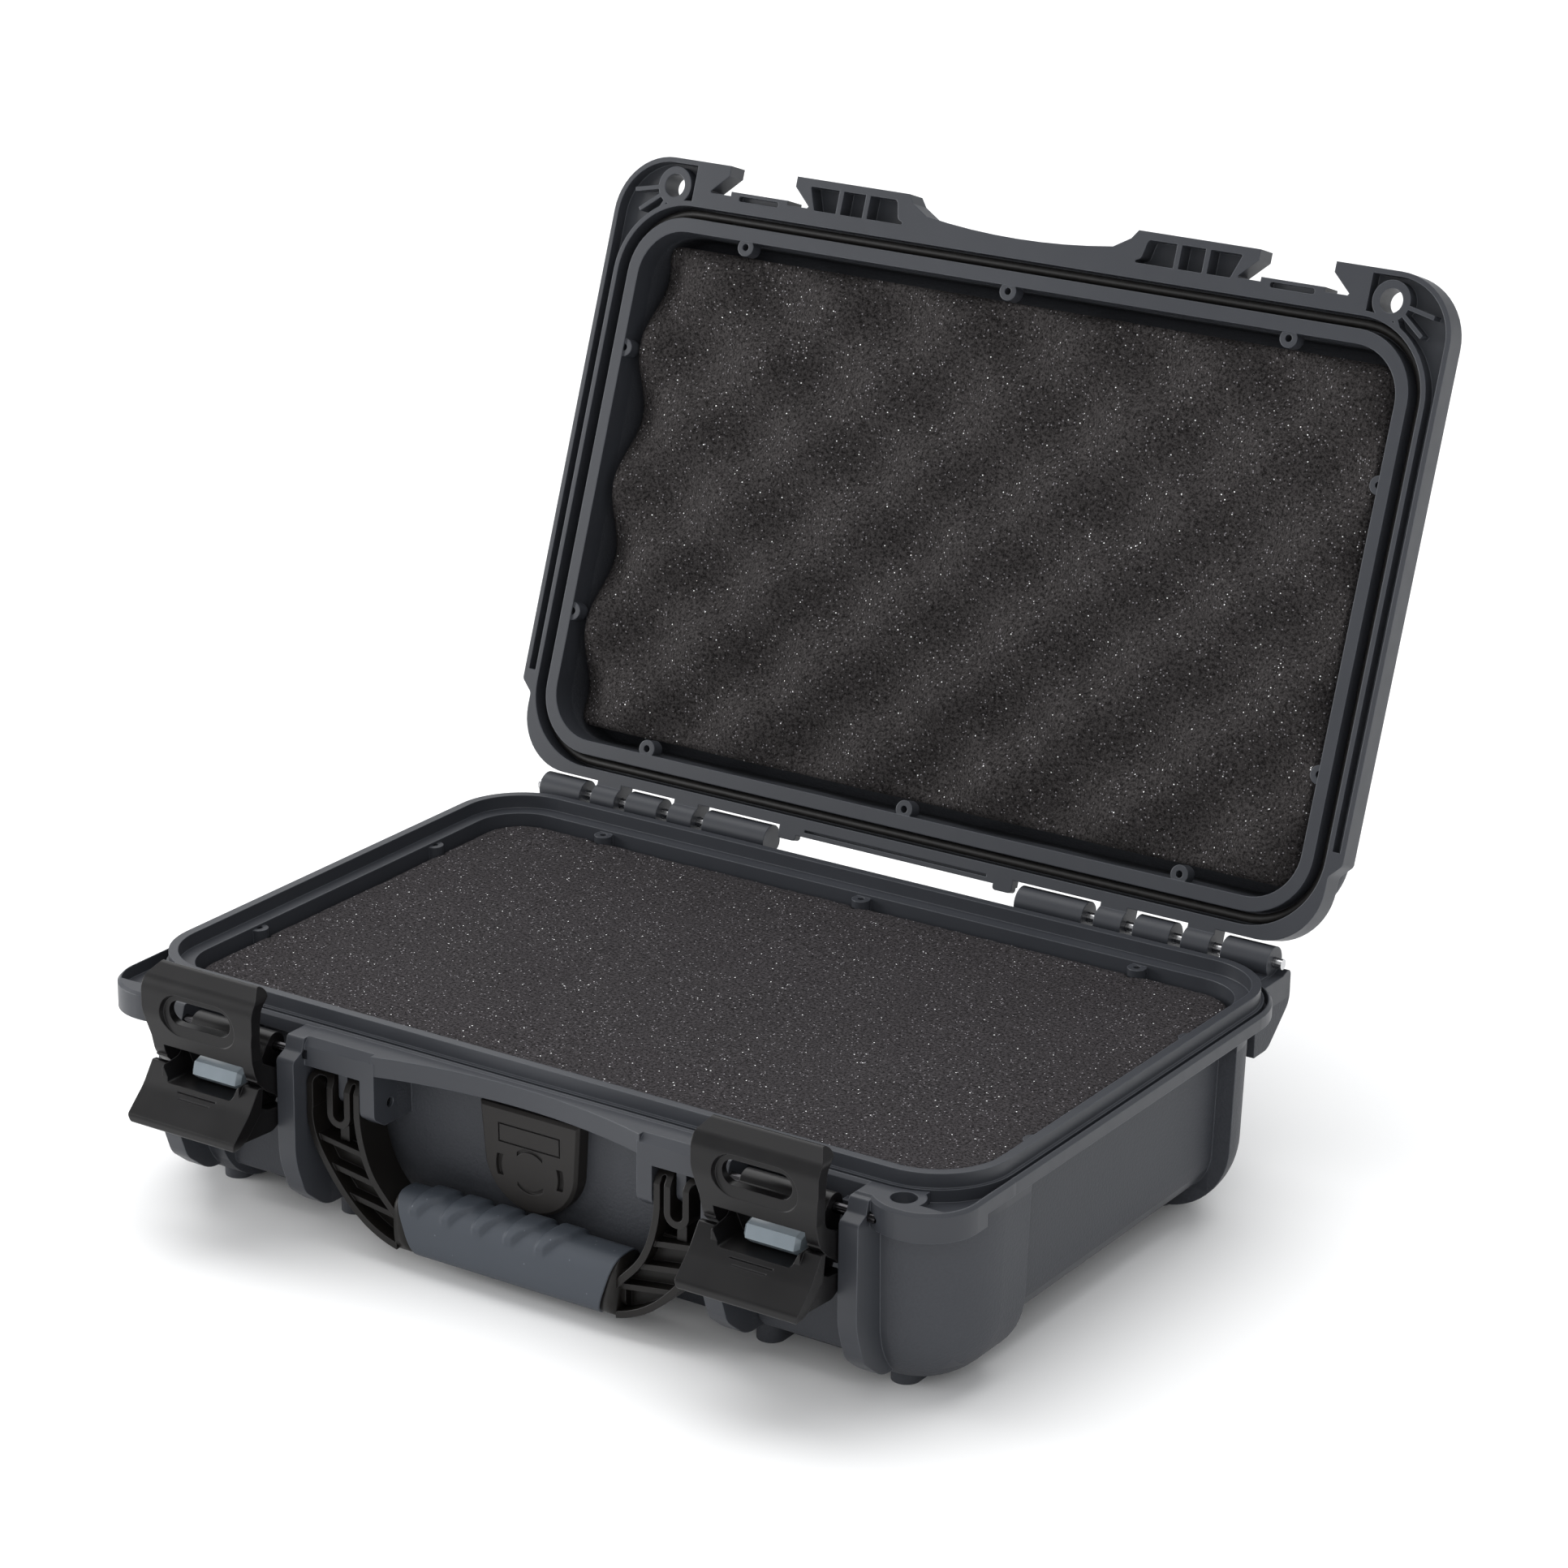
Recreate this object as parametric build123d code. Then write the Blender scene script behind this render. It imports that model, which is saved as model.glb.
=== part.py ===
"""Hard-shell protective case, shown open: two ribbed shells on a split hinge, two claw latches with
slide locks, a folding handle with a soft grip, a pressure valve, a rim gasket and three foams.

Frame: X to the right, Y to the back, Z up. The origin is on the floor plane under the centre of the
rim's sealing tongue. The lid is drawn closed and then turned open about the hinge.
"""

import math
import os

from build123d import *

os.makedirs("parts", exist_ok=True)

# ---------------------------------------------------------------- driving dimensions (mm, degrees)
INSIDE_W = 290.0  # clear width at the rim
INSIDE_D = 178.0  # clear depth, front to back, at the rim
BASE_INSIDE_H = 58.0  # rim to the base's floor
LID_INSIDE_H = 26.5  # rim to the lid's ceiling
WALL = 3.0
DRAFT = 1.6  # moulding draft of the walls
INSIDE_R = 17.0  # radius of the inside corners
SHELL_GAP = 0.3  # between the two rims when the lid is shut
FOOT_H = 8.0  # feet below the base's floor
FOOT_W = 9.0
FOOT_L = 24.0
BEAD_W = 4.0  # bead that joins the feet

TONGUE_OUT = 6.3  # sealing tongue's centre line, outside the clear opening at the sides
TONGUE_OUT_Y = 6.85  # the same at the front and back
TONGUE_W = 3.0
TONGUE_H = 4.6
GROOVE_CLEAR = 0.6  # room each side of the tongue in the lid's groove

FLANGE_OUT = 5.2  # base flange, outside the tongue's centre line
FLANGE_T = 2.5
BAND_T = 5.0  # depth of the rim's band along the sides
BAND_CORNER_T = 9.0  # and round the padlock bosses
CHANNEL_OUT = 3.2  # open channel in the rim's top, outside the tongue's centre line
CHANNEL_W = 1.3
CHANNEL_D = 4.0

BULGE_OUT = 6.0  # corner bulges, proud of the side walls
BULGE_FRONT = 12.0  # the same, proud of the front wall
BULGE_BACK = 90.0  # rear bulges reach this far from the middle
BULGE_L = 42.0  # length of a corner bulge along the side
BULGE_W = 38.0  # and along the front
BULGE_R = 28.0  # plan radius of a bulge's corner
BULGE_BOTTOM_R = 25.0
BULGE_LOW = 2.0  # bulges end this far above the floor plane
BOTTOM_R = 16.0

LATCH_X = 102.0  # latch centres, left and right of the middle
BAY_W = 40.7  # clear width between a latch's two ribs
RIB_W = 6.5
RIB_FRONT = 23.5  # ribs, proud of the front wall
BAY_OUT = 5.0  # wall between two ribs, proud of the front wall

PIN_R = 1.6  # every pivot pin
PIN_CLEAR = 0.08  # running clearance, on the radius
MOVE_GAP = 0.5  # side clearance between moving plastic parts

LATCH_PIN_OUT = 17.5  # lever's pin, in front of the front wall
LATCH_PIN_DROP = 6.0  # and below the rim
CLAW_PIN_DROP = 11.0  # claw's pin below the lever's pin
CLAW_PIN_OUT = 2.0
CLAW_W = 43.4  # claw's plate
CLAW_ARM_T = 4.2
CLAW_H = 35.6  # claw's pin to the top of the plate
LEVER_W = 42.0  # finger tab
SLIDER_W = 19.0
SLIDER_TRAVEL = 5.0
SLIDER_GAP = 0.4  # slider's clearance in its window, each way
GRIP_LINES = (15.0, 12.0, 9.0)  # lengths of the grooves in the finger tab
GRIP_LINE_R = 0.45

LUG_IN = 48.6  # handle lugs, inner face from the middle
LUG_OUT = 18.0  # lugs, proud of the front wall
LUG_H = 9.5
LIP_H = 7.0  # arched lip between the lugs, below the rim
LEG_W = 5.4
HANDLE_PIN_OUT = 10.0  # handle's pin, in front of the front wall
HANDLE_PIN_DROP = 18.0  # and below the rim
HANDLE_REACH = 46.0  # pin to the lowest point of the grip
HANDLE_T = 12.5  # handle's arms, front to back
RIBBON = 2.2  # arm's thin walls
GRIP_HALF = 41.0
GRIP_H = 21.0
GRIP_T = 15.5
CORE_H = 12.0
CORE_T = 8.0

HINGE_OUT = 18.53  # hinge axis, behind the clear opening
HINGE_UP = 2.7  # and above the rim
KNUCKLE_R = 5.2
KNUCKLE_START = 49.1  # inner end of the long knuckle
KNUCKLE_LONG = 25.1
KNUCKLE_LID = 9.8
KNUCKLE_BASE = 13.1
KNUCKLE_END = 16.8
KNUCKLE_GAP = 4.6
HINGE_PIN_R = 1.75
LID_OPEN = 109.48  # lid's swing, shut to open

LID_FLANGE_OUT = 8.2  # lid flange, outside the tongue's centre line at the sides
LID_FLANGE_T = 8.7
LID_STEP = 4.2  # flange steps in by this much near the hinge
LID_STEP_Y = 75.0
LID_TOP_R = 9.0
SKIRT_T = 1.7  # skirt round the lid's flange, and the wall behind its groove
SKIRT_H = 5.0
GUARD_T = 2.6
GUARD_FRONT = 17.7  # guard blocks, in front of the tongue's centre line
GUARD_IN = 44.6
BAY_HOOK = 13.5  # half the gap between a bay's two hooks
BAY_ROOT = 20.0
KEEPER_W = 23.0  # ridge that a claw hooks over
KEEPER_T = 2.0
KEEPER_H = 9.2
HANDCUT_DEPTH = 9.0

LOCK_X = 136.8  # padlock holes
LOCK_OUT = 8.15  # in front of the tongue's centre line
LOCK_R = 4.0
LOCK_WALL = 2.6
LOCK_RELIEF = 5.0  # room below the base's padlock hole
PAD_R = 16.6  # corner of the rim round a padlock hole

GASKET_R = 1.5
BOSS_R = 3.1  # panel screw bosses inside both shells
BOSS_HOLE_R = 1.2
BOSS_X = 104.0
BOSS_Y = 46.4
BOSS_H = 5.0
BOSS_IN = 1.9  # front and back bosses' centres, inside the clear opening

BASE_FOAM_DROP = 3.0  # foam's top below the rim
BASE_PAD_T = 12.0
FOAM_CLEAR = 0.6
LID_FOAM_EDGE = 4.2  # gap round the lid's foam
LID_FOAM_RISE = 1.5  # foam's face inside the lid, from the rim

VALVE_W = 37.0
VALVE_H = 33.4
VALVE_PROUD = 5.5
VALVE_DROP = 29.2  # stem's centre below the rim
VALVE_TOP_DROP = 11.4  # cover's top below the rim
PEG_X = 12.4  # stops above the cover, from the middle
PEG_W = 2.6
VALVE_STEM_R = 6.0
VALVE_NUT_R = 10.0
MARK_D = 0.7  # depth of the marks in the valve's cover

# ---------------------------------------------------------------- what follows from them
FLOOR_T = WALL
RIM = FOOT_H + FLOOR_T + BASE_INSIDE_H
LID_RIM = RIM + SHELL_GAP
LID_TOP = LID_RIM + LID_INSIDE_H + WALL
HALF_W = INSIDE_W / 2
HALF_D = INSIDE_D / 2
TONGUE_X = HALF_W + TONGUE_OUT
TONGUE_Y = HALF_D + TONGUE_OUT_Y
TONGUE_R = INSIDE_R + TONGUE_OUT
FRONT = -HALF_D - WALL  # front wall's outer face at the rim
BACK = -FRONT
HINGE_Y = HALF_D + HINGE_OUT
HINGE_Z = RIM + HINGE_UP
LOCK_Y = -TONGUE_Y - LOCK_OUT
P0 = (FRONT - LATCH_PIN_OUT, RIM - LATCH_PIN_DROP)  # lever's pin: y, z
P1 = (P0[0] - CLAW_PIN_OUT, P0[1] - CLAW_PIN_DROP)  # claw's pin: y, z
PH = (FRONT - HANDLE_PIN_OUT, RIM - HANDLE_PIN_DROP)  # handle's pin: y, z
RIB_AT = [s * (LATCH_X + i * (BAY_W + RIB_W) / 2) for s in (-1, 1) for i in (-1, 1)]
BAND_BOTTOM = RIM - BAND_CORNER_T
RIB_FRONT_Y = FRONT - RIB_FRONT
LUG_FRONT_Y = FRONT - LUG_OUT
BULGE_FRONT_Y = FRONT - BULGE_FRONT
RIB_INNER = LATCH_X - BAY_W / 2 - RIB_W  # handle side of a bay's inner rib


def box(x0, x1, y0, y1, z0, z1):
    """Box between two corners, in any order."""
    size = (abs(x1 - x0), abs(y1 - y0), abs(z1 - z0))
    return Pos((x0 + x1) / 2, (y0 + y1) / 2, (z0 + z1) / 2) * Box(*size)


def plate(sketch, z0, z1, taper=0.0):
    """Prism on a sketch, from z0 to z1."""
    return extrude(Pos(0, 0, z0) * sketch, z1 - z0, dir=(0, 0, 1), taper=taper)


def hang(sketch, z1, z0, taper=0.0):
    """Prism that narrows downwards, from z1 to the lower z0."""
    return extrude(Pos(0, 0, z1) * sketch, z1 - z0, dir=(0, 0, -1), taper=taper)


def across(points, x0, x1, radii=0.0):
    """Prism along X on a closed outline of (y, z) points, with rounded corners."""
    face = outline(points, radii)
    return extrude(Pos(x0, 0, 0) * (Plane.YZ * face), x1 - x0, dir=(1, 0, 0))


def outline(points, radii=0.0):
    """Closed flat outline; radii is one number or one for each corner, 0 for a sharp one."""
    face = make_face(Polyline(*points, close=True))
    if not isinstance(radii, (list, tuple)):
        radii = [radii] * len(points)
    for (u, v), r in zip(points, radii):
        if r:
            corner = face.vertices().sort_by_distance((u, v, 0))[0]
            face = fillet(corner, r)
    return face


def rod(x0, x1, y, z, r):
    """Cylinder along X."""
    return Pos((x0 + x1) / 2, y, z) * (Rotation(0, 90, 0) * Cylinder(r, abs(x1 - x0)))


def rim_ring(half_w, half_d, r, width, z0, z1):
    """Closed ring that follows the rim, on a centre line."""
    outer = RectangleRounded(2 * half_w + width, 2 * half_d + width, r + width / 2)
    inner = RectangleRounded(2 * half_w - width, 2 * half_d - width, r - width / 2)
    return plate(outer - inner, z0, z1)


def mirrored(part):
    """The part and its mirror image, left and right."""
    return part + mirror(part, about=Plane.YZ)


def bottom_round(part, r):
    """Rounds the lowest outline of a part."""
    return fillet(part.faces().sort_by(Axis.Z)[0].edges(), r)


def turned(part, y, z, angle):
    """Part turned about an X axis through (y, z)."""
    return Pos(0, y, z) * (Rotation(angle, 0, 0) * (Pos(0, -y, -z) * part))


def save(part, name):
    """Writes one sub-part under its node's name."""
    part.label = name
    export_step(part, f"parts/{name}.step")


# ---------------------------------------------------------------- base shell
def base_walls():
    """Drafted tub with its corner bulges, before the rim and the inside."""
    tub_w, tub_d = 2 * (HALF_W + WALL), 2 * (HALF_D + WALL)
    tub = hang(RectangleRounded(tub_w, tub_d, INSIDE_R + WALL), RIM, FOOT_H, DRAFT)
    tub = bottom_round(tub, BOTTOM_R)
    side = HALF_W + WALL + BULGE_OUT
    block = 3 * BULGE_R
    for end, y0, y1 in ((BACK + BULGE_FRONT, -1, 1), (BULGE_BACK, 1, -1)):
        centre = (side - block / 2, y0 * (end - block / 2))
        solid = hang(Pos(*centre) * RectangleRounded(block, block, BULGE_R), BAND_BOTTOM + 3, BULGE_LOW, DRAFT)
        solid = bottom_round(solid, BULGE_BOTTOM_R)
        inner = BACK + BULGE_FRONT - BULGE_L
        keep = box(side - BULGE_W, side, y0 * inner, y0 * (inner + 2 * BULGE_L), 0, RIM)
        tub += mirrored(solid & keep)
    return tub


def flange_outline(inset=0.0):
    """Outline of the base rim: straight at the back, with boss pads at the front corners."""
    half_w = TONGUE_X + FLANGE_OUT - inset
    half_d = TONGUE_Y + FLANGE_OUT - inset
    face = RectangleRounded(2 * half_w, 2 * half_d, TONGUE_R + FLANGE_OUT - inset)
    pad_in = LATCH_X + BAY_W / 2 + inset
    pad_front = LOCK_Y - LOCK_R - 4.6 + inset
    pad_w = half_w - pad_in
    pad = RectangleRounded(pad_w, pad_w + 18, min(PAD_R - inset, pad_w / 2 - 0.4))
    pad = Pos(half_w - pad_w / 2, pad_front + (pad_w + 18) / 2) * pad
    square = Pos(pad_in + pad_w / 4, pad_front + pad_w / 2 + 2) * Rectangle(pad_w / 2, pad_w - 4)
    return face + mirrored(pad + square)


def rim_channel():
    """Open channel round the rim's top, widened into a pocket beside each padlock boss."""
    outer = CHANNEL_OUT + CHANNEL_W / 2
    inner = CHANNEL_OUT - CHANNEL_W / 2
    wide = RectangleRounded(2 * (TONGUE_X + outer), 2 * (TONGUE_Y + outer), TONGUE_R + outer)
    narrow = RectangleRounded(2 * (TONGUE_X + inner), 2 * (TONGUE_Y + inner), TONGUE_R + inner)
    pocket = flange_outline(FLANGE_OUT - outer) - narrow
    pocket &= mirrored(Pos(LOCK_X + 20, LOCK_Y + 20) * Rectangle(32, 44))
    pocket -= mirrored(Pos(LOCK_X, LOCK_Y) * Circle(LOCK_R + LOCK_WALL))
    return plate((wide - narrow) + pocket, RIM - CHANNEL_D, RIM + 1)


def lip_outline(inset=0.0):
    """Arched lip that joins the two handle lugs in front of the rim."""
    inner = LUG_IN + 1
    front = LUG_FRONT_Y + inset
    middle = FRONT - 11.0 + inset
    arc = ThreePointArc((-inner, front), (0, middle), (inner, front))
    sides = Polyline((inner, front), (inner, FRONT + 2), (-inner, FRONT + 2), (-inner, front))
    return make_face(arc + sides)


def base_lugs():
    """Handle lugs: a cap at the rim, a leg inside, a finger in the middle and the rib outside."""
    drop = PH[1] - 6.8
    cap = box(LUG_IN, RIB_INNER + 1, LUG_FRONT_Y, FRONT + 1, RIM - LUG_H, RIM - 0.6)
    cap = chamfer(cap.faces().sort_by(Axis.Y)[0].edges().sort_by(Axis.Z)[-1], 2.4)
    leg_points = [
        (FRONT + 1, RIM - LUG_H + 1),
        (LUG_FRONT_Y, RIM - LUG_H + 1),
        (LUG_FRONT_Y, drop + 3.6),
        (LUG_FRONT_Y + 5, drop),
        (FRONT + 1, drop),
    ]
    leg = across(leg_points, LUG_IN, LUG_IN + LEG_W, [0, 0, 3, 3, 0])
    finger_x = LUG_IN + LEG_W + 8.6
    finger_points = [
        (PH[0] - 5.2, RIM - LUG_H + 1),
        (PH[0] - 5.2, PH[1] - 1),
        (PH[0], PH[1] - 5.2),
        (PH[0] + 5.2, PH[1] - 1),
        (PH[0] + 5.2, RIM - LUG_H + 1),
    ]
    finger = across(finger_points, finger_x - 1.7, finger_x + 1.7, [0, 3, 3, 3, 0])
    return mirrored(cap + leg + finger)


def base_ribs():
    """Four latch ribs down the front, each with its foot."""
    y, z = RIB_FRONT_Y, RIM
    points = [
        (FRONT + 2, z - 0.8),
        (y + 5.5, z - 0.8),
        (y + 4.2, z - 5.0),
        (y, z - 7.0),
        (y, z - 40),
        (y + 4.5, z - 52),
        (y + 14.5, FOOT_H + 1.0),
        (FRONT + 22, FOOT_H + 0.6),
    ]
    ribs = None
    for x in RIB_AT:
        rib = across(points, x - RIB_W / 2, x + RIB_W / 2, [0, 1, 1, 1.5, 30, 8, 12, 0])
        ribs = rib if ribs is None else ribs + rib
    return ribs


def base_feet():
    """Eight moulded feet under the ribs' lines, joined by a low bead into one resting face."""
    foot_y = -FRONT - 5 - FOOT_L / 2
    bead_x, bead_r = RIB_AT[-1], 12
    bead = RectangleRounded(2 * bead_x + BEAD_W, 2 * foot_y + BEAD_W, bead_r + BEAD_W / 2)
    bead -= RectangleRounded(2 * bead_x - BEAD_W, 2 * foot_y - BEAD_W, bead_r - BEAD_W / 2)
    for x in RIB_AT:
        for y in (-foot_y, foot_y):
            bead += Pos(x, y) * SlotOverall(FOOT_L, FOOT_W, rotation=90)
    return plate(bead, 0, FOOT_H + 1)


def knuckle_spans():
    """X spans of one side's knuckles, inside to outside: the base's three and the lid's two."""
    x = KNUCKLE_START
    spans = []
    for length in (KNUCKLE_LONG, KNUCKLE_LID, KNUCKLE_BASE, KNUCKLE_LID, KNUCKLE_END):
        spans.append((x, x + length))
        x += length + KNUCKLE_GAP
    return spans[0::2], spans[1::2]


BASE_SPANS, LID_SPANS = knuckle_spans()
HINGE_END = BASE_SPANS[-1][1]


def base_hinge():
    """Base knuckles on brackets that run down to the back wall."""
    y, z, r = HINGE_Y, HINGE_Z, KNUCKLE_R
    low = RIM - 14
    knuckles = None
    for x0, x1 in BASE_SPANS:
        points = [(BACK - 2, z - 3.2), (y - 1, z - 3.2), (y + r, z), (y + r, z - 3), (BACK + 3, low), (BACK - 2, low)]
        bracket = across(points, x0, x1, [0, 0, 0, 3, 4, 0])
        if x1 == HINGE_END:
            heel = [(BACK - 2, z - 4), (y, z - 4), (y + r, z - 2), (y + r, z - 14), (BACK + 7, z - 26), (BACK - 2, z - 26)]
            bracket += across(heel, x0 + 3, x1 + 3.4, [0, 0, 2, 7, 6, 0])
        one = rod(x0, x1, y, z, r) + bracket
        knuckles = one if knuckles is None else knuckles + one
    bore = rod(KNUCKLE_START + 6, HINGE_END + 10, y, z, HINGE_PIN_R)
    sweep_room = None
    for x0, x1 in LID_SPANS:
        room = rod(x0 - MOVE_GAP, x1 + MOVE_GAP, y, z, r + MOVE_GAP)
        sweep_room = room if sweep_room is None else sweep_room + room
    return mirrored(knuckles), mirrored(bore), mirrored(sweep_room)


def boss_spots(edge_x, edge_y):
    """Places of the panel bosses round the inside of a shell."""
    spots = [(x, s * edge_y) for x in (-BOSS_X, 0, BOSS_X) for s in (-1, 1)]
    return spots + [(s * edge_x, y) for s in (-1, 1) for y in (-BOSS_Y, BOSS_Y)]


def bosses(z0, z1, grow=0.0):
    """Ring bosses round the inside, as solids and as their screw holes."""
    rings, holes = None, None
    for x, y in boss_spots(HALF_W, HALF_D - BOSS_IN):
        ring = Pos(x, y, (z0 + z1) / 2) * Cylinder(BOSS_R + grow, z1 - z0)
        hole = Pos(x, y, (z0 + z1) / 2) * Cylinder(BOSS_HOLE_R, z1 - z0 + 0.02)
        rings = ring if rings is None else rings + ring
        holes = hole if holes is None else holes + hole
    return rings, holes


def base_shell():
    """Base shell with its rim, ribs, lugs, knuckles, feet and bosses."""
    body = base_walls()
    rim = plate(flange_outline(), RIM - BAND_T, RIM)
    corner = box(LATCH_X, 2 * LATCH_X, -TONGUE_Y + FLANGE_OUT, -2 * TONGUE_Y, BAND_BOTTOM, RIM)
    rim += plate(flange_outline(), BAND_BOTTOM, RIM) & mirrored(corner)
    body += chamfer(rim.faces().sort_by(Axis.Z)[-1].edges(), 1.0)
    bay = RectangleRounded(BAY_W + 2, 12, 2)
    for s in (-1, 1):
        solid = hang(Pos(s * LATCH_X, FRONT - BAY_OUT + 6) * bay, BAND_BOTTOM + 3, FOOT_H + 1.5, DRAFT)
        body += bottom_round(solid, 4)
    body += base_ribs()
    body += base_lugs()
    body += plate(lip_outline(), RIM - LIP_H, RIM - 0.6)
    peg_low = RIM - VALVE_TOP_DROP + 0.3
    body += mirrored(box(PEG_X, PEG_X + PEG_W, FRONT - PEG_W, FRONT + 1, peg_low, RIM - LIP_H + 1))
    body += base_feet()
    knuckles, bore, sweep_room = base_hinge()
    body += knuckles
    body += rim_ring(TONGUE_X, TONGUE_Y, TONGUE_R, TONGUE_W, RIM - 1, RIM + TONGUE_H)
    inside = hang(RectangleRounded(INSIDE_W, INSIDE_D, INSIDE_R), RIM + 1, FOOT_H + FLOOR_T, DRAFT)
    inside = bottom_round(inside, BOTTOM_R - WALL)
    body -= inside
    body -= rim_channel()
    rings, holes = bosses(RIM - BOSS_H - 1, RIM - 1)
    body += rings & plate(RectangleRounded(INSIDE_W + 2, INSIDE_D + 2, INSIDE_R), 0, RIM)
    body -= holes
    lock = Pos(LOCK_X, LOCK_Y)
    body -= mirrored(plate(lock * Circle(LOCK_R), BAND_BOTTOM - 1, RIM + 1))
    body -= mirrored(plate(lock * Circle(LOCK_R + 0.8), BAND_BOTTOM - LOCK_RELIEF, BAND_BOTTOM))
    for s in (-1, 1):
        body -= rod(s * (LATCH_X - BAY_W / 2 - RIB_W - 1), s * (LATCH_X + BAY_W / 2 + RIB_W + 4), *P0, PIN_R)
    body -= mirrored(rod(LUG_IN - 1, RIB_INNER + 4, *PH, PIN_R))
    body -= bore
    body -= sweep_room
    body -= valve_place(disc(VALVE_STEM_R, -3 * WALL, 3 * WALL))
    return body


# ---------------------------------------------------------------- lid shell, drawn shut
def lid_outline(inset=0.0):
    """Outline of the lid's flange: wide at the front and sides, stepped in near the hinge."""
    half_w = TONGUE_X + LID_FLANGE_OUT - inset
    front = -(TONGUE_Y + GUARD_FRONT) + inset
    bay_front = -(TONGUE_Y + 7.6) + inset
    back = HINGE_Y - KNUCKLE_R - 0.8 - inset
    r = 21 - inset
    step = LID_STEP_Y - LID_STEP / 2
    wide = [
        (-half_w, front),
        (half_w, front),
        (half_w, step),
        (half_w - LID_STEP, step + LID_STEP),
        (half_w - LID_STEP, back),
        (-half_w + LID_STEP, back),
        (-half_w + LID_STEP, step + LID_STEP),
        (-half_w, step),
    ]
    face = outline(wide, [r, r, 2, 2, 20, 20, 2, 2])
    for s in (-1, 1):
        x = s * LATCH_X
        bay = [
            (x - BAY_HOOK, front - 1),
            (x + BAY_HOOK, front - 1),
            (x + BAY_HOOK - inset, front + 3.5),
            (x + BAY_ROOT + inset, bay_front - 0.6),
            (x + BAY_ROOT - 0.5 + inset, bay_front),
            (x - BAY_ROOT + 0.5 - inset, bay_front),
            (x - BAY_ROOT - inset, bay_front - 0.6),
            (x - BAY_HOOK + inset, front + 3.5),
        ]
        face -= outline(bay)
    cut = -(TONGUE_Y + GUARD_FRONT) + HANDCUT_DEPTH + inset
    x1, x2 = GUARD_IN + inset, GUARD_IN - 9
    arc = ThreePointArc((-x2, cut - 2.5), (0, cut), (x2, cut - 2.5))
    flare = [(x2, cut - 2.5), (x1 - 3, cut - 6), (x1, front - 1), (-x1, front - 1), (-x1 + 3, cut - 6), (-x2, cut - 2.5)]
    face -= make_face(arc + Polyline(*flare))
    return face


def lid_pockets():
    """Pockets behind the guard blocks, each divided by two ribs."""
    front = -(TONGUE_Y + GUARD_FRONT) + GUARD_T
    back = -(TONGUE_Y + 7.2)
    inner, outer = GUARD_IN + 3.4, LATCH_X - BAY_ROOT - 2.4
    points = [(inner, front), (outer + 3, front), (outer, back), (inner - 6, back), (inner - 1.5, back - 1.5)]
    zone = outline(points, [1.5, 0.5, 0.5, 0.5, 2])
    third = (outer - inner) / 3
    for i in (1, 2):
        zone -= Pos(inner + i * third + 1, (front + back) / 2) * Rectangle(1.8, 12)
    return mirrored(plate(zone, LID_RIM - 1, LID_RIM + 6.5))


def lid_channel():
    """Channel inside the flange's skirt, along the sides and round the padlock bosses, with three webs."""
    wall = TONGUE_W / 2 + GROOVE_CLEAR + SKIRT_T
    rim = RectangleRounded(2 * (TONGUE_X + wall), 2 * (TONGUE_Y + wall), TONGUE_R + wall)
    front, back = -TONGUE_Y - 2 * GUARD_FRONT, LID_STEP_Y - LID_STEP - SKIRT_T
    span = BULGE_W
    keep = Pos(LOCK_X - 8 + span / 2, (front + back) / 2) * Rectangle(span, back - front)
    keep -= Pos(LOCK_X, LOCK_Y) * Circle(LOCK_R + LOCK_WALL)
    for angle in (12, 38, 64):
        keep -= Pos(LOCK_X, LOCK_Y) * (Rotation(0, 0, angle) * (Pos(8, 0) * Rectangle(16, 1.4)))
    zone = (lid_outline(SKIRT_T) - rim) & mirrored(keep)
    return plate(zone, LID_RIM - 1, LID_RIM + SKIRT_H)


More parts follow.
